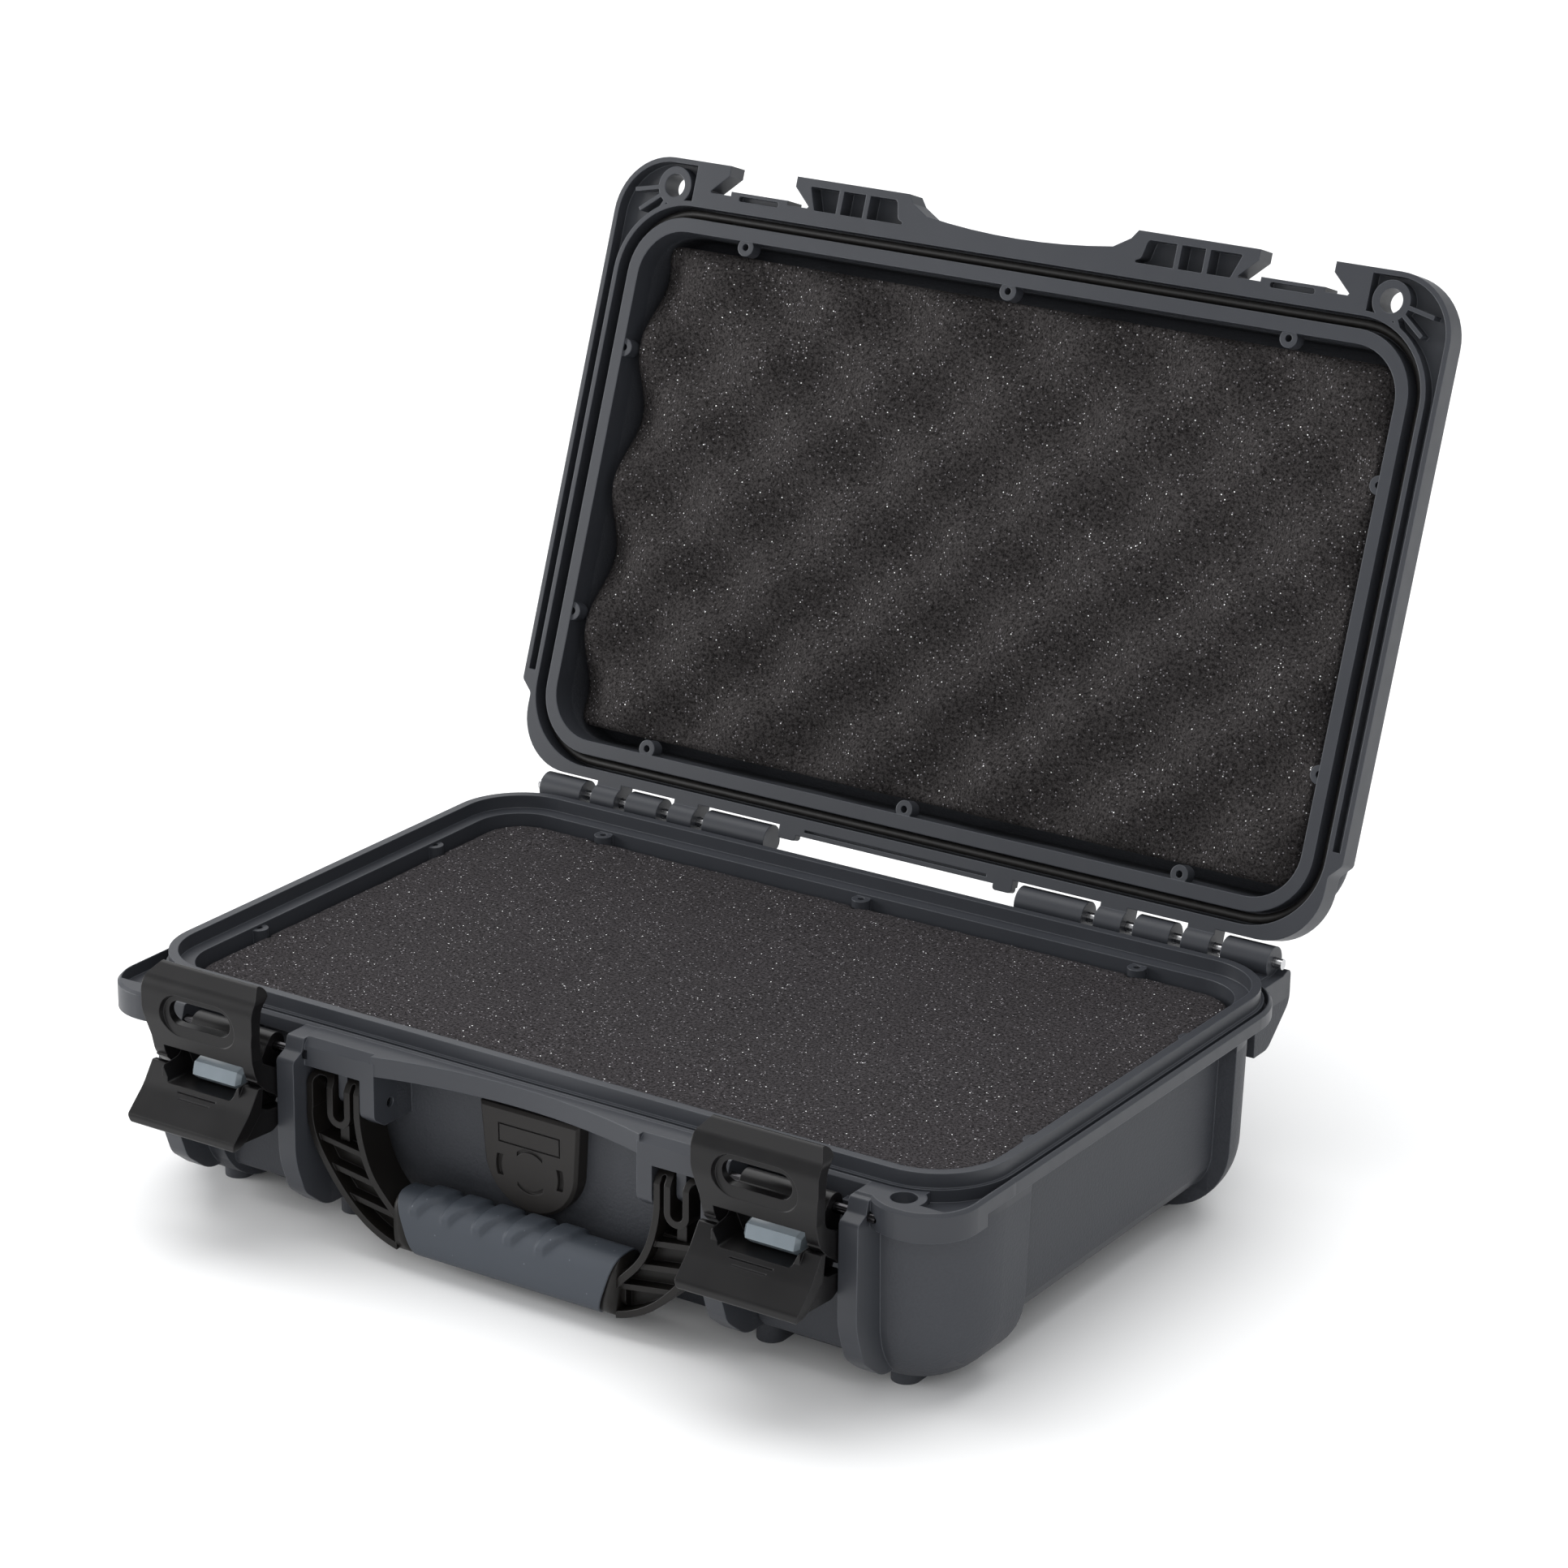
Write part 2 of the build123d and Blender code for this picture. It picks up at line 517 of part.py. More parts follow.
def lid_shell():
    """Lid shell with its rim groove, guards, keepers, knuckles and bosses, drawn shut."""
    half_w, half_d = TONGUE_X + 2.0, TONGUE_Y + 2.0
    body = RectangleRounded(2 * half_w, 2 * half_d, TONGUE_R + 2)
    body = plate(body, LID_RIM, LID_TOP, 4.0)
    body = fillet(body.faces().sort_by(Axis.Z)[-1].edges(), LID_TOP_R)
    flange = plate(lid_outline(), LID_RIM, LID_RIM + LID_FLANGE_T, 0)
    body += flange
    shoulder = RectangleRounded(2 * (TONGUE_X + LID_FLANGE_OUT - 1), 2 * (TONGUE_Y + 4), TONGUE_R + 4)
    shoulder = plate(shoulder, LID_RIM + LID_FLANGE_T - 1, LID_RIM + LID_FLANGE_T + 7, 32)
    body += shoulder & plate(lid_outline(1.0), LID_RIM, LID_TOP)
    for s in (-1, 1):
        x = s * LATCH_X
        y0 = -(TONGUE_Y + 9.1)
        body += box(x - KEEPER_W / 2, x + KEEPER_W / 2, y0, y0 + 4, LID_RIM, LID_RIM + KEEPER_H)
        slot = Pos(x, y0 + 2.0) * RectangleRounded(KEEPER_W - 7, 1.8, 0.8)
        body -= plate(slot, LID_RIM - 1, LID_RIM + 2.5)
        trough = (x - KEEPER_W / 2 - 2, x + KEEPER_W / 2 + 2, y0 + KEEPER_T, y0 + 5.7, LID_RIM + 5.0, LID_TOP)
        body -= box(*trough)
    inside = plate(RectangleRounded(INSIDE_W, INSIDE_D, INSIDE_R), LID_RIM - 1, LID_TOP - WALL, DRAFT)
    inside = fillet(inside.faces().sort_by(Axis.Z)[-1].edges(), 5)
    body -= inside
    groove_w = TONGUE_W + 2 * GROOVE_CLEAR
    groove_top = RIM + TONGUE_H + 2 * GASKET_R + 0.1
    body -= rim_ring(TONGUE_X, TONGUE_Y, TONGUE_R, groove_w, LID_RIM - 1, groove_top)
    rings, holes = bosses(LID_RIM + 0.6, LID_RIM + 0.6 + BOSS_H)
    body += rings & plate(RectangleRounded(INSIDE_W + 2, INSIDE_D + 2, INSIDE_R), 0, LID_TOP)
    body -= holes
    body -= lid_pockets()
    body -= mirrored(Pos(LOCK_X, LOCK_Y, RIM) * Cylinder(LOCK_R, 4 * LUG_H))
    body -= lid_channel()
    return body + lid_hinge() - lid_hinge_room()


def lid_hinge():
    """Lid knuckles on short arms, and the ledge between the two hinge groups."""
    y, z, r = HINGE_Y, HINGE_Z, KNUCKLE_R
    arms = None
    for x0, x1 in LID_SPANS:
        points = [(y - 9, z + r), (y, z + r), (y + r * 0.9, z), (y, z - 1), (y - 4, LID_RIM), (y - 9, LID_RIM)]
        arm = across(points, x0, x1, 0) + rod(x0, x1, y, z, r)
        arm -= rod(x0 - 1, x1 + 1, y, z, HINGE_PIN_R + PIN_CLEAR)
        window = Pos((x0 + x1) / 2, y - 7.6) * RectangleRounded(KNUCKLE_LID - 2.6, 2.6, 0.8)
        arm -= plate(window, LID_RIM - 1, LID_RIM + 3.4)
        arms = arm if arms is None else arms + arm
    edge = KNUCKLE_START - 3.5
    ledge = box(-edge, edge, y - 9, y - 3.6, LID_RIM, LID_RIM + 4.2)
    ledge -= box(-edge + 10, edge - 10, y - 7.4, y - 5.2, LID_RIM - 1, LID_RIM + 2.2)
    for s in (-1, 1):
        horn = box(s * (edge - 7), s * edge, y - 6, y - 1.6, LID_RIM, LID_RIM + 3.2)
        ledge += fillet(horn.edges().filter_by(Axis.Z), 1.2)
    return mirrored(arms) + ledge


def lid_hinge_room():
    """Room for the base's knuckles in the lid's back edge."""
    room = None
    for x0, x1 in BASE_SPANS:
        one = rod(x0 - MOVE_GAP, x1 + MOVE_GAP + 3, HINGE_Y, HINGE_Z, KNUCKLE_R + MOVE_GAP)
        room = one if room is None else room + one
    return mirrored(room)


def lid_gasket():
    """Round sealing cord that lies in the lid's groove."""
    z = RIM + TONGUE_H + GASKET_R + 0.05
    path = Pos(0, 0, z) * RectangleRounded(2 * TONGUE_X, 2 * TONGUE_Y, TONGUE_R).wire()
    profile = Plane((0, -TONGUE_Y, z), x_dir=(0, 1, 0), z_dir=(1, 0, 0)) * Circle(GASKET_R)
    return sweep(profile, path=path)


def open_lid(part):
    """Turns a piece drawn on the shut lid to where it lies when the lid is open."""
    return turned(part, HINGE_Y, HINGE_Z, -LID_OPEN)


# ---------------------------------------------------------------- foams
def base_foams():
    """Cubed foam on a thin pad, as two blocks that fill the base."""
    floor = FOOT_H + FLOOR_T
    shrink = 2 * (BASE_INSIDE_H * math.tan(math.radians(DRAFT)) + FOAM_CLEAR)
    width, depth = INSIDE_W - shrink, INSIDE_D - shrink
    pad_w, pad_d = width - 8, depth - 8
    pad = plate(RectangleRounded(pad_w, pad_d, INSIDE_R - 3), floor, floor + BASE_PAD_T)
    pad = fillet(pad.faces().sort_by(Axis.Z)[0].edges(), BASE_PAD_T - 0.5)
    top = RIM - BASE_FOAM_DROP
    block = plate(RectangleRounded(width, depth, INSIDE_R - 2), floor + BASE_PAD_T, top)
    block -= valve_place(disc(VALVE_NUT_R + 1.5, 0, WALL + 8))
    block -= bosses(0, RIM, FOAM_CLEAR)[0]
    return pad, block


def lid_foam():
    """Foam block glued in the lid, clear of the bosses."""
    size = (INSIDE_W - 2 * LID_FOAM_EDGE, INSIDE_D - 2 * LID_FOAM_EDGE - 1.2)
    face = RectangleRounded(*size, INSIDE_R - 5)
    block = plate(face, LID_RIM + LID_FOAM_RISE, LID_TOP - WALL)
    return fillet(block.faces().sort_by(Axis.Z)[-1].edges(), 6)


# ---------------------------------------------------------------- latches
def claw(x):
    """Claw: a bowed plate with a window, two arms to its pin, and a hook behind."""
    y, z = P1
    half = CLAW_W / 2
    arm_x = BAY_W / 2 - MOVE_GAP
    top = z + CLAW_H
    shell_points = [
        (y - 4.6, z + 2.5),
        (y - 8.5, z + 0.6),
        (y - 13.4, z + 6),
        (y - 17, z + 20),
        (y - 17, z + 30),
        (y - 10, top),
        (y - 6.5, top - 2.4),
        (y - 12.2, z + 30),
        (y - 13.3, z + 21),
        (y - 9.6, z + 10),
    ]
    radii = [0, 3, 8, 14, 7, 1.6, 1.6, 6, 14, 6]
    bow = across(shell_points, x - half, x + half, radii)
    trim = [(-arm_x, z - 6), (arm_x, z - 6), (arm_x, z + 12), (half, z + 22), (half, top - 4), (half - 4, top + 1)]
    trim += [(-half + 4, top + 1), (-half, top - 4), (-half, z + 22), (-arm_x, z + 12)]
    front = outline(trim, [0, 0, 0, 6, 3, 0, 0, 3, 6, 0])
    front = Plane.XZ.offset(-y + 40) * (Pos(x, 0) * front)
    body = bow & extrude(front, -60)
    boss = rod(x - arm_x, x + arm_x, y, z, 4.6)
    web_points = [(y, z + 4.6), (y - 9.6, z + 10), (y - 13, z + 5), (y - 8.5, z + 0.6), (y, z - 4.6)]
    boss += across(web_points, x - arm_x, x + arm_x, 0)
    inner = arm_x - CLAW_ARM_T
    boss -= box(x - inner, x + inner, y - 30, y + 10, z - 10, z + 9.4)
    body += boss
    body -= box(x - inner, x + inner, y - 30, y + 1, z - 10, z + 9.4)
    hook_points = [
        (y - 12, z + 32.6),
        (y - 4.2, z + 31.0),
        (y - 0.8, z + 29.0),
        (y + 0.2, z + 25.4),
        (y - 1.9, z + 25.0),
        (y - 3.6, z + 28.0),
        (y - 12, z + 29.2),
    ]
    hook_w = BAY_HOOK - 1.6
    body += across(hook_points, x - hook_w, x + hook_w, [0, 1.5, 1, 0.4, 0.4, 1, 0])
    slot = Plane.XZ.offset(-y + 40) * (Pos(x, z + 22) * SlotOverall(24, 8))
    body -= extrude(slot, -40)
    dish = Plane.XZ.offset(-y + 19) * (Pos(x, z + 21) * SlotOverall(31, 16))
    body -= extrude(dish, -3.6, taper=20)
    body -= rod(x - half, x + half, y, z, PIN_R + PIN_CLEAR)
    return body


def lever(x):
    """Lever: barrel on the base pin, cheeks to the claw's pin, window and flared finger tab."""
    y0, z0 = P0
    y, z = P1
    inner = BAY_W / 2 - 2 * MOVE_GAP - CLAW_ARM_T
    cheek_points = [
        (y0 + 4, z0 + 2),
        (y0 - 4, z0 + 2),
        (y - 8, z + 4),
        (y - 16, z + 3),
        (y - 16, z - 7),
        (y - 12, z - 13.6),
        (y + 1, z - 9),
        (y + 3.6, z),
    ]
    body = across(cheek_points, x - inner, x + inner, [0, 2, 3, 1, 3, 4, 6, 3])
    body += rod(x - inner, x + inner, y0, z0, 4.2)
    tab_points = [
        (y - 11.5, z + 3.0),
        (y - 13.6, z + 3.2),
        (y - 18.2, z - 3.6),
        (y - 26, z - 11),
        (y - 25.4, z - 14),
        (y - 22, z - 13.6),
        (y - 12.6, z - 5),
    ]
    half = LEVER_W / 2
    tab = across(tab_points, x - half, x + half, [0.3, 0.8, 18, 1.4, 1.2, 1, 2])
    front = Plane.XZ.offset(-y) * (Pos(x, z - 2) * RectangleRounded(LEVER_W, 32, 8))
    tab &= extrude(front, 40)
    body += tab
    flank_points = [
        (y - 8, z - 5.8),
        (y + 1, z - 7),
        (y + 1, z - 10),
        (y - 6, z - 13.5),
        (y - 22, z - 12.6),
        (y - 14, z - 3),
    ]
    body += across(flank_points, x - BAY_W / 2 + MOVE_GAP, x + BAY_W / 2 - MOVE_GAP, [1, 1, 3, 4, 1, 0])
    reach = (SLIDER_W + SLIDER_TRAVEL) / 2 + SLIDER_GAP
    low = z - 1.2 - SLIDER_GAP
    shape = [(-reach, low), (reach, low), (reach + 2.5, z + 3.4), (reach + 2.5, z + 8), (-reach - 2.5, z + 8), (-reach - 2.5, z + 3.4)]
    window = extrude(Plane.XZ.offset(-y + 3.8 - SLIDER_GAP) * (Pos(x, 0) * outline(shape, [1, 1, 0, 0, 0, 0])), 30)
    body -= window
    for step, length in enumerate(GRIP_LINES):
        spot = (y - 17.6 - 1.3 * step, z - 3.4 - 1.5 * step)
        body -= rod(x - length / 2, x + length / 2, *spot, GRIP_LINE_R)
    for px, py, pz, r in ((x, y0, z0, PIN_R + PIN_CLEAR), (x, y, z, PIN_R)):
        body -= rod(px - 30, px + 30, py, pz, r)
    return body


def slider(x):
    """Faceted slide lock in the lever's window."""
    y, z = P1
    points = [(y - 3.8, z - 1.2), (y - 9.4, z - 1.2), (y - 12.6, z + 1.4), (y - 11.4, z + 5.4), (y - 7, z + 7), (y - 3.8, z + 7)]
    x1 = x + (SLIDER_W + SLIDER_TRAVEL) / 2
    body = across(points, x1 - SLIDER_W, x1, 0)
    ends = body.faces().sort_by(Axis.X)
    return chamfer([e for end in (ends[0], ends[-1]) for e in end.edges()], 1.3)


# ---------------------------------------------------------------- handle
def arm_walls():
    """Centre lines of the right arm's outer and inner walls, from the pin down to the grip."""
    x0, x1 = LUG_IN + LEG_W + MOVE_GAP, RIB_INNER - MOVE_GAP
    low = PH[1] - HANDLE_REACH
    half = RIBBON / 2
    outer = [
        (x1 - half, PH[1] - 4),
        (x1 - 1.6, PH[1] - 12),
        (x1 - 8, PH[1] - 24),
        (x1 - 21, low + 8.4),
        (GRIP_HALF - 3, low + 2.2),
    ]
    inner = [
        (x0 + half, PH[1] - 4),
        (x0 - 0.6, PH[1] - 14),
        (x0 - 5, PH[1] - 24),
        (GRIP_HALF - 0.6, low + 12),
        (GRIP_HALF - 3, low + 9),
    ]
    return outer, inner


def strip(points, width):
    """Flat strip of even width along a smooth line through the points."""
    line = Spline(*points)
    steps = 10
    left, right = [], []
    for i in range(steps + 1):
        at, along = line @ (i / steps), line % (i / steps)
        side = Vector(-along.Y, along.X) * (width / 2)
        left.append(at + side)
        right.append(at - side)
    ends = Line(left[-1], right[-1]) + Line(right[0], left[0])
    return make_face(Spline(*left) + Spline(*right) + ends)


def handle_frame():
    """Moulded handle: two ribbed arms with sprung loops on the pins, joined by a core bar."""
    x0, x1 = LUG_IN + LEG_W + MOVE_GAP, RIB_INNER - MOVE_GAP
    y, z = PH
    back = y + HANDLE_T / 2 - 1.5
    outer, inner = arm_walls()

    def upright(face, inset=0.0):
        """Prism of a front view through the arm's thickness, less an inset front and back."""
        return extrude(Plane.XZ.offset(-back + inset) * face, HANDLE_T - 2 * inset)

    body = upright(strip(outer, RIBBON)) + upright(strip(inner, RIBBON))
    between = make_face(
        Spline(*outer) + Line(outer[-1], inner[-1]) + Spline(*inner[::-1]) + Line(inner[0], outer[0])
    )
    below_loop = Pos((x0 + x1) / 2, z - 15 - HANDLE_REACH / 2) * Rectangle(80, HANDLE_REACH)
    body += upright(between & below_loop, (HANDLE_T - 2) / 2)
    for drop in (15.8, 24.5, 32.5):
        bar = Pos((x0 + x1) / 2 - drop * 0.6 + 8, z - drop) * (Rotation(0, 0, 8) * Rectangle(40, 1.8))
        body += upright(bar & between, 1.2)
    finger_x = LUG_IN + LEG_W + 8.6
    room = 1.7 + MOVE_GAP + RIBBON / 2
    top, half = z + 6.8, RIBBON / 2
    loop = FilletPolyline(
        (x1 - half, z - 5),
        (x1 - half, top),
        (finger_x + room, top),
        (finger_x + room, z - 8.4),
        (finger_x - room, z - 8.4),
        (finger_x - room, z - 2),
        radius=3.2,
    )
    loop += FilletPolyline(
        (finger_x - room, z - 2),
        (finger_x - room, top),
        (x0 + half, top),
        (x0 + half, z - 5),
        radius=1.75,
    )
    body += upright(trace(loop, RIBBON))
    tie = Pos(finger_x, z - 11.6) * Rectangle(3.4, 6)
    body += upright(tie, 3)
    swing = rod(x0 - 5, x1 + 5, y, z, 8.3)
    body -= box(x0 - 5, x1 + 5, y - 30, y + 30, z, z + 20) - swing
    body -= rod(x0 - 5, x1 + 5, y, z, PIN_R + PIN_CLEAR)
    low = z - HANDLE_REACH
    core_z = low + GRIP_H / 2
    tip = Plane.YZ * (Pos(y - 1.5, core_z) * RectangleRounded(HANDLE_T, GRIP_H - 2, 4))
    tip = extrude(Pos(GRIP_HALF - 5, 0, 0) * tip, 8.6, dir=(1, 0, 0))
    body += tip & (upright(between) + box(GRIP_HALF - 6, GRIP_HALF + 3, -200, 0, 0, core_z + 20))
    core = Plane.YZ * (Pos(y - 1.5, core_z) * RectangleRounded(CORE_T, CORE_H, 2.5))
    core = extrude(Pos(-GRIP_HALF - 2, 0, 0) * core, 2 * GRIP_HALF + 4, dir=(1, 0, 0))
    sleeve = box(-GRIP_HALF, GRIP_HALF, -200, 0, -20, core_z + 30) - core
    return mirrored(body) - sleeve + core


def handle_grip():
    """Soft sleeve moulded over the handle's core bar."""
    y = PH[0] - 1.5
    z = PH[1] - HANDLE_REACH + GRIP_H / 2
    sleeve = Plane.YZ * (Pos(y, z) * RectangleRounded(GRIP_T, GRIP_H, 6.5))
    sleeve = extrude(Pos(-GRIP_HALF, 0, 0) * sleeve, 2 * GRIP_HALF, dir=(1, 0, 0))
    core = Plane.YZ * (Pos(y, z) * RectangleRounded(CORE_T, CORE_H, 2.5))
    return sleeve - extrude(Pos(-GRIP_HALF - 1, 0, 0) * core, 2 * GRIP_HALF + 2, dir=(1, 0, 0))


# ---------------------------------------------------------------- pressure valve
def valve_place(part):
    """Moves a valve piece, drawn round the stem's axis with the wall at y = 0, onto the drafted wall."""
    wall_y = FRONT + VALVE_DROP * math.tan(math.radians(DRAFT))
    return Pos(0, wall_y, RIM - VALVE_DROP) * (Rotation(DRAFT, 0, 0) * part)


def disc(r, y0, y1, hole=0.0):
    """Round piece along Y between two depths, with a hole if one is given."""
    part = Pos(0, (y0 + y1) / 2, 0) * (Rotation(90, 0, 0) * Cylinder(r, y1 - y0))
    if hole:
        part -= Pos(0, (y0 + y1) / 2, 0) * (Rotation(90, 0, 0) * Cylinder(hole, y1 - y0 + 1))
    return part


def valve_marks():
    """Plain marks sunk in the valve cover: a framed panel, two crescents and two side slots."""
    face = Plane.XZ.offset(VALVE_PROUD - MARK_D)
    panel = Pos(0, VALVE_W / 4) * (Rectangle(23, 6.4) - Rectangle(22, 5.4))
    ring = Pos(0, -1.5) * (Circle(7.3) - Circle(6.3))
    crescents = ring & (Pos(0, -1.5) * Rectangle(9.5, 20))
    side = Pos(0, -1.5) * (Circle(12.6) - Circle(10.4)) & (Pos(0, -1.5) * Rectangle(30, 7))
    marks = extrude(face * (panel + crescents), 1)
    return marks + extrude(Plane.XZ.offset(VALVE_PROUD - 2 * MARK_D) * side, 2)


def valve_parts():
    """Valve cover outside, stem through the wall, seal and nut, and the membrane in the stem."""
    half = VALVE_W / 2
    top = VALVE_DROP - VALVE_TOP_DROP
    low = top - VALVE_H
    sides = Polyline((-half + 1.4, -1), (-half, top), (half, top), (half - 1.4, -1))
    arc = ThreePointArc((half - 1.4, -1), (0, low), (-half + 1.4, -1))
    cover = extrude(Plane.XZ.offset(0.1) * make_face(sides + arc), VALVE_PROUD - 0.1)
    cover = chamfer(cover.faces().sort_by(Axis.Y)[0].edges(), 1.0)
    cover -= disc(VALVE_STEM_R + 3, -3.6, 0)
    cover -= valve_marks()
    skin, head_t, seal_t, nut_t = 0.1, 2.0, 0.8, 2.6
    body = disc(VALVE_STEM_R - skin, -1, WALL + nut_t + 1.5)
    body += disc(VALVE_STEM_R + 2.4, -seal_t - skin - head_t, -seal_t - skin)
    body -= disc(VALVE_STEM_R - 2.2, -10, 10)
    seal = disc(VALVE_STEM_R + 2.4, -seal_t, -0.02, VALVE_STEM_R + skin)
    nut = extrude(Plane.XZ.offset(-WALL - nut_t - skin) * RegularPolygon(VALVE_NUT_R, 6), nut_t)
    nut -= disc(VALVE_STEM_R, 0, 3 * WALL)
    membrane = disc(VALVE_STEM_R - 2.3, 1.0, 1.8)
    made = {"cover": cover, "body": body, "seal": seal, "nut": nut, "membrane": membrane}
    return {f"valve_{name}": valve_place(part) for name, part in made.items()}


# ---------------------------------------------------------------- pins
def pins():
    """Steel pins of the hinge, the latches and the handle."""
    made = {}
    for name, s in (("left", -1), ("right", 1)):
        made[f"hinge_pin_{name}"] = rod(s * (KNUCKLE_START + 6.2), s * (HINGE_END + 3.2), HINGE_Y, HINGE_Z, HINGE_PIN_R)
        out = LATCH_X + BAY_W / 2 + RIB_W + 2.6
        made[f"lever_pin_{name}"] = rod(s * (LATCH_X - BAY_W / 2 - 4), s * out, *P0, PIN_R)
        half = BAY_W / 2 - MOVE_GAP - 0.4
        made[f"claw_pin_{name}"] = rod(s * LATCH_X - half, s * LATCH_X + half, *P1, PIN_R)
        made[f"handle_pin_{name}"] = rod(s * (LUG_IN + 1.2), s * (RIB_INNER + 3.5), *PH, PIN_R)
    return made


def main():
    """Builds every sub-part and writes it."""
    parts = {"base_shell": base_shell(), "lid_shell": open_lid(lid_shell())}
    parts["lid_gasket"] = open_lid(lid_gasket())
    parts["base_foam_pad"], parts["base_foam_cubed"] = base_foams()
    parts["lid_foam"] = open_lid(lid_foam())
    for name, s in (("left", -1), ("right", 1)):
        parts[f"latch_claw_{name}"] = claw(s * LATCH_X)
        parts[f"latch_lever_{name}"] = lever(s * LATCH_X)
        parts[f"latch_slider_{name}"] = slider(s * LATCH_X)
    parts["handle_frame"] = handle_frame()
    parts["handle_grip"] = handle_grip()
    parts.update(valve_parts())
    parts.update(pins())
    for name, part in parts.items():
        save(part, name)


main()
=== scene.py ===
import math

import bmesh
import bpy
from mathutils import Matrix, Vector, noise


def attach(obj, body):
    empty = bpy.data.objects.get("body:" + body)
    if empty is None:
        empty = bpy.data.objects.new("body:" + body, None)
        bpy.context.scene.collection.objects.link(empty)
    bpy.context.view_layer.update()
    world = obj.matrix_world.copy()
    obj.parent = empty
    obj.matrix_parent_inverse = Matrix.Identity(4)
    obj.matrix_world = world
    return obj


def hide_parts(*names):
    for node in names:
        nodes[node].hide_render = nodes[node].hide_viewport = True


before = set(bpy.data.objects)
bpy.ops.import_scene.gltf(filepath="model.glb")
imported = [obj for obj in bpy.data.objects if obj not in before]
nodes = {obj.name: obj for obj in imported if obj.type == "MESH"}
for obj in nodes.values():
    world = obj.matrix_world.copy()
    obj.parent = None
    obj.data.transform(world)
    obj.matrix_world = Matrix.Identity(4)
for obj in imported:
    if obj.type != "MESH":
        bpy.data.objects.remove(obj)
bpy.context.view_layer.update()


# ------------------------------------------------------------------ shells
# The base and the lid are injection-moulded in an impact-grade polypropylene copolymer, coloured
# graphite grey. The mould's steel is spark-eroded for the outer walls, so they are finely pebbled;
# the rims, ribs and lugs come out of a smoother steel and are satin.
def srgb(code):
    """Linear colour from an sRGB hex value."""
    parts = [int(code[i : i + 2], 16) / 255 for i in (1, 3, 5)]
    linear = [c / 12.92 if c <= 0.04045 else ((c + 0.055) / 1.055) ** 2.4 for c in parts]
    return (*linear, 1.0)


def join(material, value, socket):
    """Links a socket to this one, or sets this one to a value."""
    if isinstance(value, bpy.types.NodeSocket):
        material.node_tree.links.new(value, socket)
    else:
        socket.default_value = value


def node(material, kind, sockets, **settings):
    """Adds one node, its sockets linked or set to values; returns its outputs."""
    added = material.node_tree.nodes.new("ShaderNode" + kind)
    for name, value in settings.items():
        setattr(added, name, value)
    for name, value in sockets.items():
        join(material, value, added.inputs[name])
    return added.outputs


def new_material(name):
    """New material; returns it and its Object coordinates."""
    material = bpy.data.materials.new(name)
    material.use_nodes = True
    return material, node(material, "TexCoord", {})["Object"]


def finish(material, sockets):
    """Links or sets the sockets of a material's shader."""
    shader = material.node_tree.nodes["Principled BSDF"]
    for name, value in sockets.items():
        join(material, value, shader.inputs[name])


def soft_edges(material, radius):
    """Normals rounded at the edges, and how much each spot belongs to an edge, from 0 to 1."""
    rounded = node(material, "Bevel", {"Radius": radius}, samples=8)["Normal"]
    plain = node(material, "NewGeometry", {})["Normal"]
    same = node(material, "VectorMath", {0: rounded, 1: plain}, operation="DOT_PRODUCT")["Value"]
    edge = node(material, "MapRange", {"Value": same, "From Min": 1.0, "From Max": 0.75})["Result"]
    return rounded, edge


def wear(objects, material):
    """Puts one material on every slot of these objects."""
    for obj in objects:
        for item in obj.material_slots:
            item.material = material


# The pebbles are drawn at four times their real 0.2 mm, which is too fine to show. The clouds
# are the flow of the melt, and the highlight patches break up a highlight painted along the edges.
PEBBLE_MM, CLOUD_MM, HIGHLIGHT_PATCH_MM = 0.8696, 45.45, 5.263
PEBBLE_DEPTH, MOULD_EDGE = 0.00016, 0.0005


def moulded(name, pebbled):
    """Moulded polypropylene: soft and low in gloss on its pebbles, satin elsewhere, with a painted
    highlight along its edges; pebbled(material, place) says where the wall is textured, from 0 to 1."""
    resin, place = new_material(name)
    textured = pebbled(resin, place)
    grain = {"Vector": place, "Scale": 1000 / PEBBLE_MM, "Detail": 1.5, "Roughness": 0.45}
    pebble = node(resin, "TexNoise", grain)["Fac"]
    cloud = node(resin, "TexNoise", {"Vector": place, "Scale": 1000 / CLOUD_MM, "Detail": 5.0})["Fac"]
    highlight_patches = node(resin, "TexNoise", {"Vector": place, "Scale": 1000 / HIGHLIGHT_PATCH_MM, "Detail": 3.0})["Fac"]
    rounded, edge = soft_edges(resin, MOULD_EDGE)

    colour = {0: cloud, 6: srgb("#313338"), 7: srgb("#393b40")}
    # The pebbles tint the textured walls, then a painted highlight lightens the edges in patches.
    for pattern, mask, strength, tone in ((pebble, textured, 0.35, "#4d4f54"), (highlight_patches, edge, 0.8, "#646870")):
        shown = node(resin, "Math", {0: pattern, 1: strength}, operation="MULTIPLY")[0]
        shown = node(resin, "Math", {0: mask, 1: shown}, operation="MULTIPLY")[0]
        colour = {0: shown, 6: node(resin, "Mix", colour, data_type="RGBA")[2], 7: srgb(tone)}

    satin = node(resin, "MapRange", {"Value": highlight_patches, "To Min": 0.36, "To Max": 0.48})["Result"]
    matt = node(resin, "MapRange", {"Value": pebble, "To Min": 0.5, "To Max": 0.66})["Result"]
    strength = node(resin, "Math", {0: textured, 1: 0.85}, operation="MULTIPLY")[0]
    relief = {"Strength": strength, "Height": pebble, "Distance": PEBBLE_DEPTH, "Normal": rounded}
    sockets = {
        "Base Color": node(resin, "Mix", colour, data_type="RGBA")[2],
        "Roughness": node(resin, "Mix", {0: textured, 2: satin, 3: matt})[0],
        "Normal": node(resin, "Bump", relief)["Normal"],
        "IOR": 1.49,
        "Specular IOR Level": 0.35,
    }
    finish(resin, sockets)
    return resin


